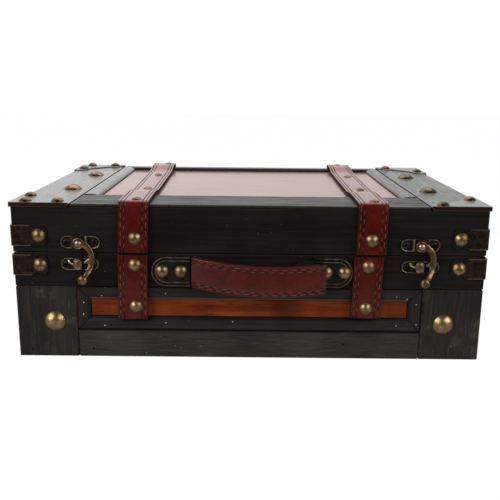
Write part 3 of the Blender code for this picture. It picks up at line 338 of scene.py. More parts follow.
# bright metal, patina, dark spots, how much of the last two, and roughness
metalTones = {
    "nail": ((0.41, 0.28, 0.135), (0.15, 0.088, 0.04), (0.026, 0.015, 0.009), 0.8, 0.38),
    # a lighter copy of the nails' brass for the big front nails: painted light
    "litBigNail": ((0.5, 0.35, 0.175), (0.21, 0.13, 0.062), (0.03, 0.018, 0.011), 0.72, 0.35),
    # three darker copies of the nails' brass for nails on the lid's top, one also used on the hinges: painted
    # shade
    "shadedSunkNail": ((0.13, 0.085, 0.04), (0.046, 0.027, 0.013), (0.014, 0.009, 0.006), 0.85, 0.28),
    "shadedDullNail": ((0.19, 0.124, 0.058), (0.066, 0.038, 0.018), (0.016, 0.01, 0.006), 0.85, 0.27),
    "capNail": ((0.112, 0.076, 0.038), (0.039, 0.024, 0.012), (0.011, 0.007, 0.005), 0.85, 0.27),
    "hook": ((0.285, 0.19, 0.096), (0.1, 0.06, 0.028), (0.028, 0.018, 0.011), 0.8, 0.38),
    "rim": ((0.36, 0.275, 0.185), (0.14, 0.098, 0.06), (0.045, 0.031, 0.021), 0.8, 0.38),
    "rivet": ((0.5, 0.345, 0.265), (0.26, 0.155, 0.105), (0.06, 0.035, 0.022), 0.55, 0.34),
    "tab": ((0.4, 0.28, 0.185), (0.19, 0.12, 0.07), (0.04, 0.024, 0.014), 0.65, 0.34),
    "field": ((0.04, 0.037, 0.034), (0.014, 0.013, 0.012), (0.006, 0.0055, 0.005), 0.8, 0.46),
    # near-black for screw slots and pin holes: painted shade in the hollows
    "slot": ((0.004, 0.004, 0.005), (0.003, 0.003, 0.003), (0.002, 0.002, 0.002), 0.5, 0.6),
    "pin": ((0.62, 0.58, 0.52), (0.4, 0.36, 0.3), (0.1, 0.085, 0.07), 0.5, 0.4),
    "bridge": ((0.055, 0.032, 0.024), (0.026, 0.015, 0.012), (0.01, 0.007, 0.006), 0.75, 0.45),
}


def agedMetal(name, tone):
    # plated metal gone brown, with rubbed places and fine scratches
    bright, patina, dark, amount, roughness = metalTones[tone]
    finish = Finish(name)
    where = finish.place()
    cloud = finish.noise(where, 240.0, 5, 0.65)
    spots = finish.noise(where, 900.0, 3, 0.6)
    scratch = finish.noise(finish.scaled(where, (300, 2600, 2600)), 1.0, 3, 0.6)
    colour = finish.blend(finish.step(cloud, 0.36, 0.6) * amount, bright, patina)
    colour = finish.blend(finish.step(spots, 0.6, 0.74) * amount, colour, dark)
    rough = roughness + (cloud - 0.5) * 0.22 + finish.step(scratch, 0.6, 0.75) * 0.12
    normal = finish.bump(cloud * 0.5 + spots * 0.3 + scratch * 0.2, 0.00006, 0.6)
    return finish.surface(Base_Color=colour, Metallic=1.0, Roughness=rough, Normal=normal)


# a wrap's band runs round the corner to bandFrom, and its round ear goes on from there
wrapTones = {"dark": (0.024, 0.016, 0.012), "light": (0.062, 0.04, 0.029), "line": (0.22, 0.145, 0.105),
             "ear": (0.0075, 0.0063, 0.0055), "bandFrom": 0.152, "bandFade": (-0.0012, 0.0003),
             "sideFade": (-0.0015, 0.0), "half": 0.00744, "lineFade": (-0.001, -0.0004), "ragged": 0.0006,
             "middles": {"lid": 0.0893, "base": 0.0682}}


def wrapSheet(level):
    # thin brown sheet, rubbed bright along the two long edges of its band
    finish = Finish(f"{level}WrapSheet")
    where = finish.place()
    x, y, z = finish.split(where)
    cloud = finish.noise(where, 300.0, 5, 0.65)
    colour = finish.blend(finish.step(cloud, 0.35, 0.65), wrapTones["dark"], wrapTones["light"])
    long = finish.step(y.size() + front, *wrapTones["sideFade"])
    ear = finish.fade(x.size() - wrapTones["bandFrom"], *wrapTones["bandFade"]) * long
    colour = finish.blend(ear, colour, wrapTones["ear"])
    out = (z - wrapTones["middles"][level]).size() + (cloud - 0.5) * wrapTones["ragged"]
    edge = finish.step(out - wrapTones["half"], *wrapTones["lineFade"])
    colour = finish.blend(edge * (1 - ear) * 0.9, colour, wrapTones["line"])
    return finish.surface(Base_Color=colour, Metallic=1 - ear, Roughness=0.42 + (cloud - 0.5) * 0.2,
                          Normal=finish.bump(cloud, 0.00008, 0.7), Specular_IOR_Level=0.2)


# the sheet's top and the lip's foot, and where the lip ends on each side with its round corners
# the cut's pale colour is bare metal and partly painted highlight
capTones = {"dark": (0.008, 0.007, 0.0065), "light": (0.022, 0.0185, 0.0165), "line": (0.1, 0.064, 0.048),
            "lip": (0.0165, 0.008, 0.0064), "gone": (0.007, 0.006, 0.0054), "cut": (0.29, 0.275, 0.262),
            "top": 0.1127, "foot": 0.1094, "endX": 0.1255, "endY": 0.0725, "round": 0.0021,
            "steepFade": (0.3, 0.8), "outFade": (-0.0006, 0.0), "cutFade": (-0.0011, -0.0008),
            "lipFade": (-0.0006, -0.0003), "ragged": 0.0003, "footFade": (0.0003, 0.0006, 0.45),
            "goneFade": (-0.0001, 0.0001)}


def cornerSheet(name):
    # lacquered sheet on the lid's corners, its lip rubbed along both edges
    finish = Finish(name)
    where = finish.place()
    x, y, z = finish.split(where)
    cloud = finish.noise(where, 260.0, 5, 0.65)
    colour = finish.blend(finish.step(cloud, 0.35, 0.65), capTones["dark"], capTones["light"])
    outside = (x.size() - box["width"] / 2).high(y.size() + front)
    steep = finish.fade(finish.facing(), *capTones["steepFade"])
    upright = steep * finish.step(outside, *capTones["outFade"])
    below = z - capTones["top"]
    # the steep cut under the sheet's top is pale: bare metal, and partly painted highlight for an edge that
    # would be round
    colour = finish.blend(steep * finish.step(below, *capTones["cutFade"]), colour, capTones["cut"])
    colour = finish.blend(upright, colour, capTones["lip"])
    high = finish.step(below + (cloud - 0.5) * capTones["ragged"], *capTones["lipFade"])
    # the lip's ends are round: its lower corners are lost in the board's black
    bend = capTones["round"]
    short = (bend - (x.size() - capTones["endX"]).low(y.size() - capTones["endY"])).high(0.0)
    hang = (bend - (z - capTones["foot"])).high(0.0)
    inside = bend - (short * short + hang * hang) ** 0.5
    low = finish.fade(inside, *capTones["footFade"])
    colour = finish.blend(high.high(low) * upright * 0.8, colour, capTones["line"])
    gone = finish.fade(inside, *capTones["goneFade"]) * upright
    colour = finish.blend(gone, colour, capTones["gone"])
    return finish.surface(Base_Color=colour, Roughness=0.45 + (cloud - 0.5) * 0.16, IOR=1.5,
                          Normal=finish.bump(cloud, 0.00006, 0.6), Specular_IOR_Level=0.06,
                          Coat_Weight=1 - upright, Coat_Roughness=0.24, Coat_IOR=1.62)


leatherFace = leather("oxbloodLeather", "face")
gripFace = leather("gripLeather", "grip")
leatherEdge = leather("blackedLeatherEdge", "edge")
thread = threadFinish()
metals = {tone: agedMetal(f"{tone}Metal", tone) for tone in metalTones}
print("finishes made")

redLine = (0.026, 0.006, 0.004)
paleLine = (0.092, 0.082, 0.078)
# each board's tone and the axis that its grain runs along
boards = {
    "base_front_board": ("rail", 0), "base_back_board": ("rail", 0), "base_left_board": ("block", 1),
    "base_right_board": ("block", 1), "front_upper_rail": ("rail", 0), "front_left_block": ("block", 2),
    "front_right_block": ("blockRightShaded", 2), "front_lower_board": ("lower", 0),
    "frame_top_moulding": ("frame", 0), "frame_bottom_moulding": ("frame", 0),
    "frame_left_moulding": ("frame", 2), "frame_right_moulding": ("frame", 2),
    "lid_front_board": ("lid", 0), "lid_back_board": ("lid", 0), "lid_left_board": ("lid", 1),
    "lid_right_board": ("lid", 1), "top_left_board": ("top", 1), "top_right_board": ("topRight", 1),
    "top_front_rail": ("topRail", 0), "top_back_rail": ("top", 0), "top_left_moulding": ("top", 1),
    "top_right_moulding": ("topRight", 1), "top_back_moulding": ("shade", 0),
}
# coloured lines along joints: the axis across, which end, half the width and the colour
lines = {
    "top_left_moulding": (0, 0, 0.00055, black), "top_right_moulding": (0, 1, 0.00055, black),
    "top_left_board": (0, 1, 0.00045, black), "top_right_board": (0, 0, 0.00045, black),
    "frame_left_moulding": (0, 0, 0.0011, redLine), "frame_bottom_moulding": (2, 0, 0.00085, black),
    "frame_right_moulding": (0, 1, 0.0008, black), "frame_top_moulding": (2, 0, 0.0014, paleLine),
    "top_back_moulding": (1, 1, 0.00075, black),
}
sunkLow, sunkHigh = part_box("front_inset_panel")
sunk = (sunkHigh[0], (sunkLow[2] + sunkHigh[2]) / 2, (sunkHigh[2] - sunkLow[2]) / 2)


def refinish(start, material):
    # gives one material to every solid whose name starts so
    for node, solid in nodes.items():
        if node.startswith(start):
            solid.data.materials.clear()
            solid.data.materials.append(material)


for seed, (node, (tone, along)) in enumerate(boards.items(), 1):
    low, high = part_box(node)
    line = None
    if node in lines:
        axis, end, width, tint = lines[node]
        line = (axis, (low, high)[end][axis], width, tint)
    # the frame's sides and bottom get painted shade towards the panel
    inner = sunk if tone == "frame" and node != "frame_top_moulding" else None
    refinish(node, stainedWood(f"{node}Wood", tone, low, high, along, seed, line, inner))
refinish("front_inset_panel", varnishedWood("orangePanelWood", "orange", 3))
refinish("lid_top_panel", varnishedWood("redPanelWood", "red", 5))
refinish("base_bottom_board", varnishedWood("bareWood", "inner", 8))
refinish("hinge", metals["shadedDullNail"])
refinish("corner_cap", cornerSheet("cornerCapSheet"))
for level in wrapTones["middles"]:
    refinish(f"{level}_wrap", wrapSheet(level))
print("boards finished")


def only(thing):
    bpy.ops.object.select_all(action="DESELECT")
    thing.select_set(True)
    bpy.context.view_layer.objects.active = thing
    return thing


def named(thing, name):
    thing.name = name
    thing.data.name = name
    return thing


def added(name, primitive, **settings):
    # a new primitive with its place applied, named and alone in the selection
    bpy.ops.object.select_all(action="DESELECT")
    primitive(**settings)
    bpy.ops.object.transform_apply()
    return only(named(bpy.context.object, name))


def edited(operator, **settings):
    # one edit-mode operator on the whole of the active mesh
    bpy.ops.object.mode_set(mode="EDIT")
    bpy.ops.mesh.select_all(action="SELECT")
    operator(**settings)
    bpy.ops.object.mode_set(mode="OBJECT")


def applied(thing, kind, **settings):
    only(thing)
    modifier = thing.modifiers.new(kind.lower(), kind)
    for key, value in settings.items():
        setattr(modifier, key, value)
    bpy.ops.object.modifier_apply(modifier=modifier.name)
    return thing


def moved(thing, matrix):
    thing.data.transform(matrix)
    return thing


def copyOf(thing, name, matrix):
    twin = thing.copy()
    twin.data = thing.data.copy()
    twin.name = name
    bpy.context.collection.objects.link(twin)
    return moved(twin, matrix)


def joinedAs(name, things):
    only(things[0])
    for thing in things:
        thing.select_set(True)
    if len(things) > 1:
        bpy.ops.object.join()
    return named(bpy.context.view_layer.objects.active, name)


def smoothed(thing, angle):
    only(thing)
    bpy.ops.object.shade_smooth_by_angle(angle=math.radians(angle))
    return thing


def smoothAll(thing):
    for face in thing.data.polygons:
        face.use_smooth = True
    return thing


def slotted(thing, *materials):
    thing.data.materials.clear()
    for material in materials:
        thing.data.materials.append(material)
    return thing


def dressed(thing, body, slot, *materials):
    if materials:
        slotted(thing, *materials)
    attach(thing, body)
    return thing


def chooseVertices(thing, test):
    # selects vertices by place and leaves edit mode on
    bpy.ops.object.mode_set(mode="OBJECT")
    for vertex in thing.data.vertices:
        vertex.select = test(vertex.co)
    for part in (*thing.data.edges, *thing.data.polygons):
        part.select = all(thing.data.vertices[index].select for index in part.vertices)
    bpy.ops.object.mode_set(mode="EDIT")


def spotAt(place, size=(1, 1, 1)):
    # a place whose axes are scaled by the size
    return Matrix.Translation(place) @ Matrix.Diagonal((*size, 1))


def onFace(turn, right, up, out, size=(1, 1, 1)):
    # a place on a side of the box, turned round Z from the front: X right, Y up, Z out
    reach = box["depth"] / 2 if abs(math.sin(turn)) < 0.5 else box["width"] / 2
    upright = Matrix(((1, 0, 0, 0), (0, 0, -1, -reach), (0, 1, 0, 0), (0, 0, 0, 1)))
    return Matrix.Rotation(turn, 4, "Z") @ upright @ spotAt((right, up, out), size)


nailSizes = {
    "stud": {"radius": 0.0046, "height": 0.0025, "segments": 28, "rings": 18},
    "big": {"radius": 0.00735, "height": 0.0036, "segments": 36, "rings": 22},
    "small": {"radius": 0.0029, "height": 0.0015, "segments": 24, "rings": 14},
}
nailFoot = {"deep": 0.0003, "taper": 0.985, "cut": 0.001}


def nailHead(name, radius, height, segments, rings):
    # a dome cut from a ball, with a short foot that is closed below
    ball = (radius ** 2 + height ** 2) / (2 * height)
    head = added(name, bpy.ops.mesh.primitive_uv_sphere_add, segments=segments, ring_count=rings * 2,
                 radius=ball, location=(0, 0, height - ball))
    edited(bpy.ops.mesh.bisect, plane_co=(0, 0, 0), plane_no=(0, 0, 1), clear_inner=True)
    chooseVertices(head, lambda co: co.z < radius * nailFoot["cut"])
    bpy.ops.mesh.extrude_region_move(TRANSFORM_OT_translate={"value": (0, 0, -nailFoot["deep"])})
    bpy.ops.transform.resize(value=(nailFoot["taper"], nailFoot["taper"], 1))
    bpy.ops.mesh.edge_face_add()
    edited(bpy.ops.mesh.normals_make_consistent, inside=False)
    return smoothed(head, 50)


templates = {kind: nailHead(f"{kind}Template", **size) for kind, size in nailSizes.items()}


def nails(name, kind, body, places, material=metals["nail"]):
    # a set of equal nails on one carrier, each turned a little differently
    spread = random.Random(name)
    copies = []
    for index, place in enumerate(places):
        turn = Matrix.Rotation(spread.uniform(0, math.tau), 4, "Z")
        copies.append(copyOf(templates[kind], f"{name}{index}", place @ turn))
    return dressed(joinedAs(name, copies), body, "antique_brass", material)


# the big nails' distance from the side, their depths from the front edge and their tone on the lid
# on the lid the big nails take darker copies of the brass, the right one darkest: painted shade
bigNails = {
    "Left": {"side": -1, "in": 0.0262, "depths": (0.07, 0.1534), "tone": "shadedDullNail"},
    "Right": {"side": 1, "in": 0.0249, "depths": (0.0734, 0.1559), "tone": "capNail"},
}
frontNail = {"right": 0.1391, "up": 0.0264}
for word, spots in bigNails.items():
    across = spots["side"] * (box["width"] / 2 - spots["in"])
    places = [spotAt((across, front + depth, box["height"])) for depth in spots["depths"]]
    nails(f"topNails{word}", "big", "lid", places, metals[spots["tone"]])
    place = onFace(0, spots["side"] * frontNail["right"], frontNail["up"], 0)
    nails(f"frontNail{word}", "big", "base", [place], metals["litBigNail"])
print("big nails set")

strap = {"width": 0.021, "thick": 0.0025, "rows": (0.0063, 0.0087), "groove": 0.00026, "grooveWide": 0.00055,
         "crown": 0.00015, "step": 0.0016, "acrossSteps": 22, "edgeRound": 0.00055, "corner": 0.0005,
         "dipStart": 0.0415, "dip": 0.03, "riseEnd": 0.014125, "endGap": 0.0005, "turnSteps": 8,
         "dipSteps": 30, "upward": 0.9}
stitch = {"pitch": 0.0064, "length": 0.0048, "thick": 0.00056, "flat": 0.8, "proud": 0.25, "sink": 0.00006,
          "margin": 0.0016, "stagger": 0.35, "wave": 0.00012, "waves": 610, "shift": 3}
# the x of each strap's middle at five places, and its studs on the lid's top from front to back
strapStops = {
    "left": {"back": -0.0852, "top": -0.0803, "lidLow": -0.0815, "baseHigh": -0.08175, "baseLow": -0.0826,
             "reach": 0.0476, "depths": (0.0042, 0.068, 0.1515, 0.2195),
             "asides": (0.0016, 0.0015, 0.001, 0.004), "lidAside": 0.001, "baseAsides": (0.0015, 0.002)},
    "right": {"back": 0.08719, "top": 0.0848, "lidLow": 0.08455, "baseHigh": 0.0833, "baseLow": 0.08225,
              "reach": 0.0454, "depths": (0.0042, 0.0738, 0.1525, 0.219),
              "asides": (0.0012, 0.0012, 0.001, -0.001), "lidAside": 0, "baseAsides": (0, 0)},
}
strapStud = {"lidHeight": 0.0883, "baseDrops": (0.0072, 0.0376), "pressed": (0.92, 0.92, 0.86),
             "sinks": (0.0004, 0.0005, 0.0005, 0.0009)}


def flatStrap(name, length, width, thick, rows, groove):
    # a flat strap along X whose top dips under the stitch rows, with blacked edges
    strip = added(name, bpy.ops.mesh.primitive_grid_add, x_subdivisions=max(2, int(length / strap["step"])),
                  y_subdivisions=strap["acrossSteps"], size=1)
    for vertex in strip.data.vertices:
        across = vertex.co.y * width
        dip = sum(math.exp(-((abs(across) - row) / strap["grooveWide"]) ** 2) for row in rows)
        crown = strap["crown"] * math.cos(math.pi * vertex.co.y)
        vertex.co = ((vertex.co.x + 0.5) * length, across, thick / 2 + crown - groove * min(1, dip))
    slotted(strip, leatherFace, leatherEdge)
    applied(strip, "SOLIDIFY", thickness=thick, offset=-1, material_offset_rim=1, material_offset=1)
    applied(strip, "BEVEL", width=strap["edgeRound"], segments=3, limit_method="ANGLE",
            angle_limit=math.radians(50))
    return smoothed(strip, 50)


def stitchRows(name, length, rows, lift):
    # one stitch, repeated along X and across the strip
    pitch = stitch["pitch"]
    one = added(name, bpy.ops.mesh.primitive_uv_sphere_add, segments=8, ring_count=6, radius=0.5)
    bpy.ops.transform.rotate(value=math.pi / 2, orient_axis="Y", center_override=(0, 0, 0))
    bpy.ops.object.transform_apply(rotation=True)
    count = int((length - 2 * stitch["margin"]) / pitch)
    slack = (length - (count - 1) * pitch) / 2
    thick = stitch["thick"]
    moved(one, spotAt((slack, 0, lift), (stitch["length"], thick, thick * stitch["flat"])))
    applied(one, "ARRAY", count=count, use_relative_offset=False, use_constant_offset=True,
            constant_offset_displace=(pitch, 0, 0))
    copies = []
    for index, row in enumerate(rows):
        along = pitch * stitch["stagger"] * index
        copies += [copyOf(one, f"{name}Row", spotAt((along, side * row, 0))) for side in (-1, 1)]
    bpy.data.objects.remove(one)
    seams = joinedAs(name, copies)
    for vertex in seams.data.vertices:
        turn = vertex.co.x * stitch["waves"] + stitch["shift"] * math.copysign(1, vertex.co.y)
        vertex.co.y += stitch["wave"] * math.sin(turn)
    return smoothAll(seams)


def carried(thing, path, across):
    # lays what was modelled flat along X onto a path of (place, out) pairs
    lengths = [0.0]
    for (before, _), (after, _) in zip(path, path[1:]):
        lengths.append(lengths[-1] + (after - before).length)
    for vertex in thing.data.vertices:
        along = min(max(vertex.co.x, 0.0), lengths[-1])
        index = 0
        while index < len(lengths) - 2 and lengths[index + 1] < along:
            index += 1
        share = (along - lengths[index]) / (lengths[index + 1] - lengths[index])
        (here, outHere), (there, outThere) = path[index:index + 2]
        out = outHere.lerp(outThere, share).normalized()
        beyond = (there - here).normalized() * (vertex.co.x - along)
        vertex.co = here.lerp(there, share) + across * vertex.co.y + out * vertex.co.z + beyond
    return thing


def pathLength(path):
    return sum((after[0] - before[0]).length for before, after in zip(path, path[1:]))


def lidStrapPath():
    # up the lid's front, over the top with its dip to the panel, and down the back
    lift = box["gap"] + strap["thick"] / 2
    bend = strap["corner"] + lift
    foot = box["lidBottom"] + strap["endGap"]
    cornerY = front + strap["corner"]
    cornerZ = box["height"] - strap["corner"]
    low = box["panelTop"] + lift
    path = []

    def add(y, z, outY, outZ):
        path.append((Vector((0, y, z)), Vector((0, outY, outZ)).normalized()))

    def turned(y, z, fromTurn, toTurn):
        for step in range(strap["turnSteps"] + 1):
            angle = math.radians(fromTurn + (toTurn - fromTurn) * step / strap["turnSteps"])
            add(y + bend * math.cos(angle), z + bend * math.sin(angle), math.cos(angle), math.sin(angle))

    def eased(fromY, fromZ, toZ):
        for step in range(strap["dipSteps"] + 1):
            share = step / strap["dipSteps"]
            ease = share * share * (3 - 2 * share)
            slope = (toZ - fromZ) / strap["dip"] * 6 * share * (1 - share)
            add(fromY + strap["dip"] * share, fromZ + (toZ - fromZ) * ease, -slope, 1)

    add(front - lift, foot, -1, 0)
    turned(cornerY, cornerZ, 180, 90)
    eased(front + strap["dipStart"], box["height"] + lift, low)
    eased(-front - strap["riseEnd"] - strap["dip"], low, box["height"] + box["backRise"] + lift)
    turned(-cornerY, cornerZ + box["backRise"], 90, 0)
    add(-front + lift, foot, 1, 0)
    return path


def strapMiddle(stops, y, z):
    # the strap lies a little askew on the lid
    back = min(1, max(0, (y - front) / box["depth"]))
    down = max(0, (box["height"] - z) / (box["height"] - box["lidBottom"]))
    top = stops["top"] + (stops["back"] - stops["top"]) * back
    return top + (stops["lidLow"] - stops["top"]) * down


def leaned(thing, stops):
    for vertex in thing.data.vertices:
        vertex.co.x += strapMiddle(stops, vertex.co.y, vertex.co.z)
    return thing


def upperFace(path, y):
    # the height and the slope of the strap's upper face at a depth
    spots = [spot for spot in path if spot[1].z > strap["upward"]]
    place, out = min(spots, key=lambda spot: abs(spot[0].y - y))
    return place.z + strap["thick"] / 2 * out.z, math.atan2(-out.y, out.z)


def strapLaid(name, seamsName, path, across, body, node, stops=None):
    # a strap and its stitches, modelled flat and laid on the path
    length = pathLength(path)
    lift = strap["thick"] / 2 - strap["groove"] + stitch["thick"] * stitch["proud"] - stitch["sink"]
    band = flatStrap(name, length, strap["width"], strap["thick"], strap["rows"], strap["groove"])
    seams = stitchRows(seamsName, length, strap["rows"], lift)
    for thing in (band, seams):
        carried(thing, path, across)
        if stops:
            leaned(thing, stops)
    dressed(band, body, "leather")
    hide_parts(node)
    dressed(seams, body, "leather", thread)


strapOut = box["gap"] + strap["thick"]


def strapOverLid(side, stops):
    path = lidStrapPath()
    word = side.capitalize()
    strapLaid(f"lidStrap{word}", f"lidStrapStitches{word}", path, Vector((-1, 0, 0)), "lid",
              f"lid_strap_{side}", stops)
    height = strapStud["lidHeight"]
    places = [onFace(0, strapMiddle(stops, front, height) + stops["lidAside"], height, strapOut),
              onFace(math.pi, -strapMiddle(stops, -front, height), height, strapOut)]
    nails(f"lidStrapStuds{word}", "stud", "lid", places)
    places = []
    for depth, aside, sink in zip(stops["depths"], stops["asides"], strapStud["sinks"]):
        y = front + depth
        level, tilt = upperFace(path, y)
        spot = spotAt((strapMiddle(stops, y, box["height"]) + aside, y, level - sink))
        places.append(spot @ Matrix.Rotation(tilt, 4, "X") @ spotAt((0, 0, 0), strapStud["pressed"]))
    nails(f"topStrapStuds{word}", "stud", "lid", places, metals["shadedSunkNail"])


def strapDownBase(side, stops, facing, turn, sign):
    high = box["seam"] - strap["endGap"]
    foot = box["seam"] - stops["reach"]
    turned = Matrix.Rotation(turn, 4, "Z")

    def lean(z):
        share = (high - z) / (high - foot)
        return sign * (stops["baseHigh"] + (stops["baseLow"] - stops["baseHigh"]) * share)

    outward = front - box["gap"] - strap["thick"] / 2
    path = [(turned @ Vector((lean(z), outward, z)), turned @ Vector((0, -1, 0))) for z in (high, foot)]
    name = f"baseStrap{facing}{side.capitalize()}"
    strapLaid(name, f"{name}Stitches", path, turned @ Vector((1, 0, 0)), "base",
              f"base_strap_{facing.lower()}_{side}")
    places = []
    for drop, aside in zip(strapStud["baseDrops"], stops["baseAsides"]):
        places.append(onFace(turn, lean(high - drop) + sign * aside, high - drop, strapOut))
    nails(f"{name}Studs", "stud", "base", places)


for side, stops in strapStops.items():
    strapOverLid(side, stops)
    strapDownBase(side, stops, "Front", 0, 1)
    strapDownBase(side, stops, "Back", math.pi, -1)
print("straps laid")

grip = {"middle": 0.0016, "height": 0.0649, "width": 0.0215, "thick": 0.0044, "returnWidth": 0.0172,
        "returnThick": 0.0016, "mouth": 0.0435, "groove": 0.00035, "rows": (0.00725, 0.009)}
# spots along the handle: right of its middle, out from the front and down
gripSpots = (
    (-0.0412, 0.0031, 0.0), (-0.037, 0.0058, 0.0004), (-0.029, 0.009, 0.0012), (-0.018, 0.012, 0.0022),
    (-0.005, 0.0142, 0.0031), (0.009, 0.0152, 0.0036), (0.022, 0.015, 0.0036), (0.034, 0.014, 0.0032),
    (0.044, 0.0126, 0.0028), (0.0506, 0.0113, 0.0025),
)
endSpots = (
    ((0.0565, 0.0014, 0.0), (0.04, 0.0014, 0.0001), (0.0356, 0.0022, 0.0004), (0.032, 0.005, 0.0012),
     (0.0282, 0.009, 0.0024), (0.0235, 0.0122, 0.0034)),
    ((-0.0571, 0.0014, 0.0), (-0.044, 0.0014, 0.0), (-0.0418, 0.0016, 0.0), (-0.04, 0.003, 0.0)),
)


def curve(points, steps=8):
    # a smooth run through the points
    run = []
    last = len(points) - 1
    for index in range(last):
        before, a, b, after = (Vector(points[min(max(index + offset, 0), last)]) for offset in (-1, 0, 1, 2))
        for step in range(steps):
            t = step / steps
            run.append(0.5 * (2 * a + (b - before) * t + (2 * before - 5 * a + 4 * b - after) * t * t
                              + (3 * a - before - 3 * b + after) * t ** 3))
    run.append(Vector(points[-1]))
    return run


def gripPath(spots):
    places = [Vector((grip["middle"] + x, front - out, grip["height"] - drop))
              for x, out, drop in curve(spots)]
    path = []
    for index, place in enumerate(places):
        along = places[min(index + 1, len(places) - 1)] - places[max(index - 1, 0)]
        out = Vector((along.y, -along.x, 0)).normalized()
        path.append((place, out if out.y < 0 else -out))
    return path


def onlySlot(thing, index):
    for face in thing.data.polygons:
        face.material_index = index
    return thing


def handleMade():
    path = gripPath(gripSpots)
    length = pathLength(path)
    strip = flatStrap("gripStrip", length, grip["width"], grip["thick"], grip["rows"], grip["groove"])
    strip.data.materials[0] = gripFace
    pieces = [carried(onlySlot(strip, 0), path, Vector((0, 0, 1)))]
    for spots in endSpots:
        thinPath = gripPath(spots)
        thin = flatStrap("gripEnd", pathLength(thinPath), grip["returnWidth"], grip["returnThick"], (), 0)
        across = Vector((0, 0, 1 if spots[0][0] < spots[-1][0] else -1))
        pieces.append(carried(onlySlot(thin, 1), thinPath, across))
    handle = joinedAs("leatherGrip", pieces)
    dressed(handle, "handle", "leather")
    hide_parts("handle_strap")
    lift = grip["thick"] / 2 - grip["groove"] + stitch["thick"] * stitch["proud"]
    seams = carried(stitchRows("gripStitches", length, grip["rows"], lift), path, Vector((0, 0, 1)))
    dressed(seams, "handle", "leather", thread)


handleMade()
print("handle made")

# over is cut off at the mouth
# a profile's steps: how far in, how far up, and the metal, 0 for the rim's and 1 for the field's
cap = {"length": 0.0276, "radius": 0.0113, "rise": 0.003, "sheet": 0.0005, "over": 0.012, "edge": 0.0004,
       "profile": ((0.0003, 0.0004, 1), (0.0003, 0.0005, 1), (0.0003, 0.0002, 0), (0.0004, -0.0001, 0),
                   (0.0003, -0.0006, 1), (0.001, 0, 1), (0.0003, 0.0005, 1), (0.0003, 0.0001, 0),
                   (0.0004, -0.0001, 0), (0.0003, -0.0005, 1), (0.0006, 0, 1)),
       "studs": {"left": (0.0064, 0.0196), "right": (0.0086, 0.0213)}}


def obroundFace(name, length, height, middle, low):
    # a flat face, round at both ends, from a circle whose halves are moved apart
    sides = 48
    face = added(name, bpy.ops.mesh.primitive_circle_add, vertices=sides, radius=height / 2, fill_type="NGON",
                 rotation=(0, 0, math.pi / sides))
    half = length / 2 - height / 2
    for vertex in face.data.vertices:
        vertex.co.x += math.copysign(half, vertex.co.x) + middle[0]
        vertex.co.y += middle[1]
        vertex.co.z = low
    return face


def raised(face, steps):
    # draws the face up and inwards along a profile
    bpy.ops.object.mode_set(mode="EDIT")
    bpy.ops.mesh.select_all(action="SELECT")
    for inset, rise, material in steps:
        if inset:
            bpy.ops.mesh.inset(thickness=inset, depth=rise)
        else:
            bpy.ops.mesh.extrude_region_move(TRANSFORM_OT_translate={"value": (0, 0, rise)})
        face.active_material_index = material
        bpy.ops.object.material_slot_assign()
    bpy.ops.object.mode_set(mode="OBJECT")


def capMade(side, word):
    # made with its mouth on x = 0 and its round end along X
    total = cap["length"] + cap["over"]
    name = f"handleCap{word.capitalize()}"
    shell = obroundFace(name, total, cap["radius"] * 2, (cap["length"] - total / 2, 0), box["gap"])
    slotted(shell, metals["rim"], metals["field"])
    raised(shell, ((0, cap["rise"] - box["gap"] - cap["edge"], 1), *cap["profile"]))
    edited(bpy.ops.mesh.bisect, plane_co=(0, 0, 0), plane_no=(1, 0, 0), clear_inner=True)
    applied(shell, "SOLIDIFY", thickness=cap["sheet"], offset=-1, use_even_offset=True)
    turn = Matrix.Rotation(0 if side > 0 else math.pi, 4, "Z")
    seat = onFace(0, grip["middle"] + side * grip["mouth"], grip["height"], 0)
    smoothed(moved(shell, seat @ turn), 30)
    edited(bpy.ops.mesh.normals_make_consistent, inside=False)
    dressed(shell, "base", "antique_brass")
    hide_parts(f"handle_cap_{word}")
    spots = [seat @ spotAt((side * along, 0, cap["rise"])) for along in cap["studs"][word]]
    nails(f"{name}Studs", "stud", "base", spots)


capMade(1, "right")
capMade(-1, "left")
print("handle caps made")

# places on a latch are right of and above its pivot; a bar's spots add half its width and its lift
latch = {"x": 0.1193, "pivot": 0.0842, "plate": (0.0277, 0.0092), "plateUp": 0.0007,
         "plateRight": {"left": 0.0011, "right": -0.0005}, "sheet": 0.0009, "keeper": (0.0266, 0.009),
         "keeperRight": 0.0003, "keeperUp": -0.015, "keeperSheet": 0.0008, "edge": 0.0002, "blunt": 5,
         "profile": ((0.00018, 0.0002, 0), (0.00039, 0, 0), (0.00018, -0.00012, 0), (0.0001, -0.00045, 1),
                     (0.0003, 0, 1))}
bridge = {"size": (0.0118, 0.0088, 0.0011), "up": 0.00115, "taper": 0.8, "round": 0.00022}
rivet = {"radius": 0.0012, "length": 0.003, "up": 0.0021, "foot": 0.0036, "head": (0.87, 0.87, 0.85)}
screw = {"head": (0.78, 0.78, 0.45), "slot": (0.0027, 0.0005, 0.0004), "slotUp": 0.00058, "turn": 0.4,
         "off": 0.0097, "sunk": 0.0001}
tab = {"left": -0.0036, "right": 0.0023, "top": -0.0107, "bottom": -0.0186, "back": 0.0036, "slim": 0.96,
       "square": 0.3, "profile": ((0, 0.0006, 0), (0.0002, 0.0002, 0), (0.0005, 0, 0), (0.0002, -0.0002, 0),
                                  (0.0003, 0.0001, 1), (0.0006, 0.0002, 1), (0.0006, 0.0001, 1))}
tongue = {"thick": 0.0008, "spots": ((-0.0072, -0.0116, 0.0008, 0.001), (-0.0067, -0.0131, 0.0008, 0.0018),
                                     (-0.0054, -0.0142, 0.0008, 0.0028), (-0.0036, -0.0146, 0.0008, 0.0035))}
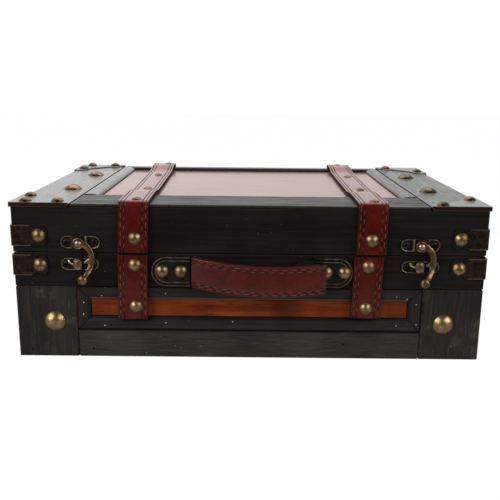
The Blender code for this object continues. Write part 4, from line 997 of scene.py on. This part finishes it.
# each ring: its radius, its wire's radius, sides, flatness and lift from the arm's middle
hook = {"back": 0.002, "thick": 0.0013, "voxel": 0.00015, "softness": 0.6, "passes": 4,
        "rings": ((0.0034, 0.00066, 16, 1, 0), (0.00235, 0.0008, 12, 0.5, -0.0002)),
        "ball": (0.003, -0.0252, 0.0071), "ballSize": (0.0035, 0.0035, 0.0022),
        "spurThin": 0.9, "spurUp": 0.00005}
armSpots = (
    (0.001, -0.0018, 0.0012, 0), (0.003, 0.0003, 0.0017, 0), (0.0046, -0.0011, 0.0021, 0),
    (0.0068, -0.0032, 0.002, 0), (0.0083, -0.0061, 0.002, 0), (0.0089, -0.0092, 0.0021, 0),
    (0.0089, -0.0123, 0.0021, 0), (0.0085, -0.0153, 0.002, 0.0002), (0.0075, -0.0183, 0.0018, 0.0016),
    (0.0059, -0.0211, 0.0017, 0.0034), (0.0041, -0.0236, 0.0018, 0.0043),
)
spurSpots = ((0.0086, -0.0125, 0.0026, 0), (0.0066, -0.0128, 0.0019, 0), (0.005, -0.0133, 0.0012, 0),
             (0.0038, -0.0138, 0.0007, 0))


def bar(name, spots, thick, base, segments, rings):
    # a rounded bar through the spots, made from a long ball
    made = added(name, bpy.ops.mesh.primitive_uv_sphere_add, segments=segments, ring_count=rings, radius=1)
    run = curve(spots)
    for vertex in made.data.vertices:
        polar = math.acos(max(-1.0, min(1.0, vertex.co.z))) / math.pi
        place = polar * (len(run) - 1)
        index = min(int(place), len(run) - 2)
        spot = run[index].lerp(run[index + 1], place - index)
        along = (run[index + 1] - run[index]).xy.normalized()
        across = Vector((-along.y, along.x))
        turn = vertex.co.xy.normalized()
        close = min(1.0, math.sin(polar * math.pi) * latch["blunt"])
        x, y = spot.xy + across * spot.z * turn.x * close
        vertex.co = (x, y, base + spot.w + thick / 2 * (1 + turn.y * close))
    return made


def swingHook(seat, word):
    name = f"swingHook{word.capitalize()}"
    middle = hook["back"] + hook["thick"] / 2
    parts = []
    for major, minor, sides, flat, lift in hook["rings"]:
        ring = added(f"{name}Ring", bpy.ops.mesh.primitive_torus_add, major_radius=major, minor_radius=minor,
                     major_segments=48, minor_segments=sides)
        parts.append(moved(ring, spotAt((0, 0, middle + lift), (1, 1, flat))))
    ball = added(f"{name}Ball", bpy.ops.mesh.primitive_uv_sphere_add, segments=32, ring_count=24, radius=1)
    parts.append(moved(ball, spotAt(hook["ball"], hook["ballSize"])))
    parts.append(bar(f"{name}Arm", armSpots, hook["thick"], hook["back"], 20, 48))
    parts.append(bar(f"{name}Spur", spurSpots, hook["thick"] * hook["spurThin"],
                     hook["back"] + hook["spurUp"], 16, 24))
    whole = joinedAs(name, parts)
    applied(whole, "REMESH", mode="VOXEL", voxel_size=hook["voxel"])
    applied(whole, "SMOOTH", factor=hook["softness"], iterations=hook["passes"])
    dressed(moved(smoothAll(whole), seat), f"{word}_hook", "antique_brass", metals["hook"])
    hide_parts(f"latch_hook_{word}")


def screwHead(name, seat, metal):
    # a sunk screw with a crossed slot, the slot two thin near-black bars of painted shade
    head = copyOf(templates["small"], name, seat @ spotAt((0, 0, 0), screw["head"]))
    parts = [slotted(head, metals[metal])]
    for turn in (screw["turn"], screw["turn"] + math.pi / 2):
        slot = added(f"{name}Slot", bpy.ops.mesh.primitive_cube_add, size=1)
        spot = seat @ Matrix.Rotation(turn, 4, "Z") @ spotAt((0, 0, screw["slotUp"]), screw["slot"])
        parts.append(slotted(moved(slot, spot), metals["slot"]))
    return parts


def plateParts(name, size, right, up, sheet):
    # a stamped plate with a bright rim round a sunk field, and its two screws
    plate = obroundFace(name, *size, (right, up), box["gap"])
    slotted(plate, metals["rim"], metals["field"])
    raised(plate, ((0, sheet - latch["edge"], 1), *latch["profile"]))
    parts = [smoothed(plate, 35)]
    for way in (-1, 1):
        spot = spotAt((right + way * screw["off"], up, sheet - screw["sunk"]))
        parts += screwHead("latchScrew", spot, "field")
    return parts


def upperPlate(seat, word):
    name = f"latchPlate{word.capitalize()}"
    up = latch["plateUp"]
    parts = plateParts(name, latch["plate"], latch["plateRight"][word], up, latch["sheet"])
    block = added("bridge", bpy.ops.mesh.primitive_cube_add, size=1)
    moved(block, spotAt((0, up, bridge["up"]), bridge["size"]))
    for vertex in block.data.vertices:
        if vertex.co.z > bridge["up"]:
            vertex.co.x *= bridge["taper"]
    slotted(block, metals["bridge"], metals["rim"])
    for face in block.data.polygons:
        face.material_index = 1 if abs(face.normal.x) > 0.5 else 0
    applied(block, "BEVEL", width=bridge["round"], segments=3, limit_method="ANGLE",
            angle_limit=math.radians(25))
    shank = added("rivetShank", bpy.ops.mesh.primitive_cylinder_add, vertices=24, radius=rivet["radius"],
                  depth=rivet["length"], location=(0, 0, rivet["up"]))
    head = copyOf(templates["small"], "rivetHead", spotAt((0, 0, rivet["foot"]), rivet["head"]))
    parts += [smoothed(block, 40), slotted(shank, metals["field"]), slotted(head, metals["rivet"])]
    whole = moved(joinedAs(name, parts), seat)
    dressed(whole, "lid", "antique_brass")
    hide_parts(f"latch_plate_{word}")


def lowerPlate(seat, word):
    name = f"latchKeeper{word.capitalize()}"
    parts = plateParts(name, latch["keeper"], latch["keeperRight"], latch["keeperUp"], latch["keeperSheet"])
    width = tab["right"] - tab["left"]
    height = tab["top"] - tab["bottom"]
    middle = Vector(((tab["right"] + tab["left"]) / 2, (tab["top"] + tab["bottom"]) / 2, tab["back"]))
    # the upright tab is an obround on end, with a bright rim round a copper middle
    upright = obroundFace("keeperTab", height, width * tab["slim"], (0, 0), 0)
    moved(upright, Matrix.Translation(middle) @ Matrix.Rotation(math.pi / 2, 4, "Z"))
    for vertex in upright.data.vertices:
        # squarer corners than a half circle gives
        share = abs(vertex.co.y - middle.y) / (height / 2)
        x = middle.x + (vertex.co.x - middle.x) * (1 + tab["square"] * share ** 3)
        vertex.co.x = max(tab["left"], min(tab["right"], x))
    slotted(upright, metals["rim"], metals["tab"])
    raised(upright, tab["profile"])
    hanging = slotted(bar("keeperTongue", tongue["spots"], tongue["thick"], 0, 16, 32), metals["rim"])
    parts += [smoothed(upright, 50), smoothed(hanging, 60)]
    whole = moved(joinedAs(name, parts), seat)
    dressed(whole, "base", "antique_brass")
    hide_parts(f"latch_keeper_{word}")


for side, word in ((-1, "left"), (1, "right")):
    seat = onFace(0, side * latch["x"], latch["pivot"], 0)
    upperPlate(seat, word)
    lowerPlate(seat, word)
    swingHook(seat, word)
print("latches made")

# nail heads a touch larger than the solids' and just over them
cornerNails = {"size": (1.06, 1.06, 1.1), "out": 0.00116, "top": 0.11276}
# on the wraps: each side of the box by its turn, with how far along it the nails sit
wrapNails = {"sides": {0: 0.147, math.pi: 0.147, math.pi / 2: 0.094, -math.pi / 2: 0.094},
             "levels": {"lid": 0.0893, "base": 0.0682}}
# on a corner cap: in from the side and from the front or back
capNails = {"frontLeg": (0.0313, 0.0056), "sideLeg": (0.0056, 0.029), "corner": (0.0088, 0.0056)}
for level, height in wrapNails["levels"].items():
    spots = []
    for turn, along in wrapNails["sides"].items():
        for side in (-1, 1):
            spots.append(onFace(turn, side * along, height, cornerNails["out"], cornerNails["size"]))
    nails(f"{level}WrapNails", "stud", level, spots)
spots = []
for sideX, sideY in ((-1, -1), (-1, 1), (1, -1), (1, 1)):
    for kind, (inX, inY) in capNails.items():
        if kind != "corner" or sideX < 0:
            x = sideX * (box["width"] / 2 - inX)
            spots.append(spotAt((x, sideY * (-front - inY), cornerNails["top"])))
nails("cornerCapNails", "stud", "lid", spots, metals["capNail"])
print("corner nails set")

# brass pin heads in the frame and three small pin holes below it, right of the middle and up; the holes are
# flat near-black heads, painted shade
marks = {
    "framePins": {"size": (0.16, 0.16, 0.14), "metal": "pin", "places": (
        (-0.1178, 0.0406), (-0.1182, 0.0318), (-0.1049, 0.0459), (-0.1035, 0.0236), (-0.0597, 0.026),
        (-0.0117, 0.0272), (0.1045, 0.0468), (0.1121, 0.0452), (0.1189, 0.0413), (0.1196, 0.0263),
        (0.1053, 0.0254), (-0.0595, 0.0477))},
    "pinHoles": {"size": (0.24, 0.24, 0.04), "metal": "slot", "places": (
        (-0.1559, 0.005), (-0.1121, 0.0059), (0.068, 0.0108))},
}
for name, look in marks.items():
    spots = [onFace(0, right, up, 0, look["size"]) for right, up in look["places"]]
    nails(name, "small", "base", spots, metals[look["metal"]])
print("pins set")

hingeScrews = {"axis": 0.07725, "off": 0.0101, "spread": 0.0098, "out": 0.0014}
for level, way in (("base", -1), ("lid", 1)):
    screws = []
    for word in ("left", "right"):
        low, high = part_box(f"hinge_{level}_leaf_{word}")
        for place in (-1, 0, 1):
            across = -(low[0] + high[0]) / 2 + place * hingeScrews["spread"]
            seat = onFace(math.pi, across, hingeScrews["axis"] + way * hingeScrews["off"], hingeScrews["out"])
            screws += screwHead("hingeScrew", seat, "hook")
    dressed(joinedAs(f"{level}HingeScrews", screws), level, "antique_brass")
print("hinge screws set")

# near and far are distances from the box between which the floor turns dark to reflected light
studio = {
    "camera": (-0.000921, -0.58507, 0.193459), "pitch": 13.466, "yaw": -0.117, "roll": 0.601,
    "focal": 695.669, "imageSide": 500, "sensor": 36.0, "clip": (0.01, 50),
    "floorSize": 8.0, "floorUp": -0.0002, "floorTone": 0.48, "farTone": 0.07, "near": 0.09, "far": 0.26,
    "floorGlow": 1.07, "glowShare": 0.92,
    "glossyFront": 0.03, "glossyBack": 1.0, "glossyTilt": 0.45, "turn": 0.25, "fill": 0.3,
}
lamps = {
    "overhead": {"at": (0.0, 0.55, 1.15), "aim": (0, 0, 0.08), "size": (1.4, 0.9), "power": 10.0},
    "leftFront": {"at": (-1.05, -1.0, 0.75), "aim": (0, 0, 0.06), "size": (1.0, 1.0), "power": 15.0},
    "rightFront": {"at": (1.1, -0.95, 0.72), "aim": (0, 0, 0.06), "size": (1.0, 1.0), "power": 11.4},
}


def cameraMade():
    data = bpy.data.cameras.new("studioCamera")
    data.sensor_width = studio["sensor"]
    data.lens = studio["sensor"] * studio["focal"] / studio["imageSide"]
    data.clip_start, data.clip_end = studio["clip"]
    camera = bpy.data.objects.new("studioCamera", data)
    bpy.context.collection.objects.link(camera)
    turn = (Matrix.Rotation(math.radians(studio["yaw"]), 4, "Z")
            @ Matrix.Rotation(math.pi / 2 - math.radians(studio["pitch"]), 4, "X")
            @ Matrix.Rotation(math.radians(studio["roll"]), 4, "Z"))
    camera.matrix_world = Matrix.Translation(studio["camera"]) @ turn
    bpy.context.scene.camera = camera


def lampMade(name, at, aim, size, power):
    data = bpy.data.lights.new(name, "AREA")
    data.shape = "RECTANGLE"
    data.size, data.size_y = size
    data.energy = power
    lamp = bpy.data.objects.new(name, data)
    bpy.context.collection.objects.link(lamp)
    lamp.location = at
    lamp.rotation_euler = (Vector(aim) - Vector(at)).to_track_quat("-Z", "Y").to_euler()


def floorMade():
    floor = added("studioFloor", bpy.ops.mesh.primitive_plane_add, size=studio["floorSize"],
                  location=(0, 0, studio["floorUp"]))
    finish = Finish("paleFloor")
    x, y, _ = finish.split(finish.place())
    away = (x.size() - box["width"] / 2).high(y.size() + front)
    distant = finish.step(away, studio["near"], studio["far"])
    tone = finish.blend(distant, (studio["floorTone"],) * 3, (studio["farTone"],) * 3)
    lit = finish.node("ShaderNodeBsdfDiffuse", None, {"Color": tone})
    glow = finish.node("ShaderNodeEmission", None, {"Color": (1, 1, 1), "Strength": studio["floorGlow"]})
    seen = finish.node("ShaderNodeLightPath", output="Is Camera Ray")
    mixed = finish.node("ShaderNodeMixShader", None, {0: seen * studio["glowShare"], 1: lit, 2: glow})
    finish.node("ShaderNodeOutputMaterial", None, {"Surface": mixed})
    floor.data.materials.append(finish.owner)


def worldMade():
    finish = Finish("studioWorld", bpy.data.worlds)
    bpy.context.scene.world = finish.owner
    camera, glossy, through = [finish.node("ShaderNodeLightPath", output=f"Is {kind} Ray")
                               for kind in ("Camera", "Glossy", "Transmission")]
    sideways, backward, _ = finish.split(finish.node("ShaderNodeTexCoord", output="Generated"))
    turn = studio["turn"]
    behind = finish.step(backward, -turn, turn, studio["glossyFront"], studio["glossyBack"])
    behind = behind * (1 - sideways * studio["glossyTilt"])   # the photo's room is brighter on the left
    white = camera.high(through)
    strength = white + (1 - white) * (glossy * behind + (1 - glossy) * studio["fill"])
    back = finish.node("ShaderNodeBackground", None, {"Color": (1, 1, 1), "Strength": strength})
    finish.node("ShaderNodeOutputWorld", None, {"Surface": back})


cameraMade()
floorMade()
worldMade()
for name, look in lamps.items():
    lampMade(name, **look)
bpy.context.scene.view_settings.view_transform = "Standard"
print("studio set")

for template in templates.values():
    bpy.data.objects.remove(template)
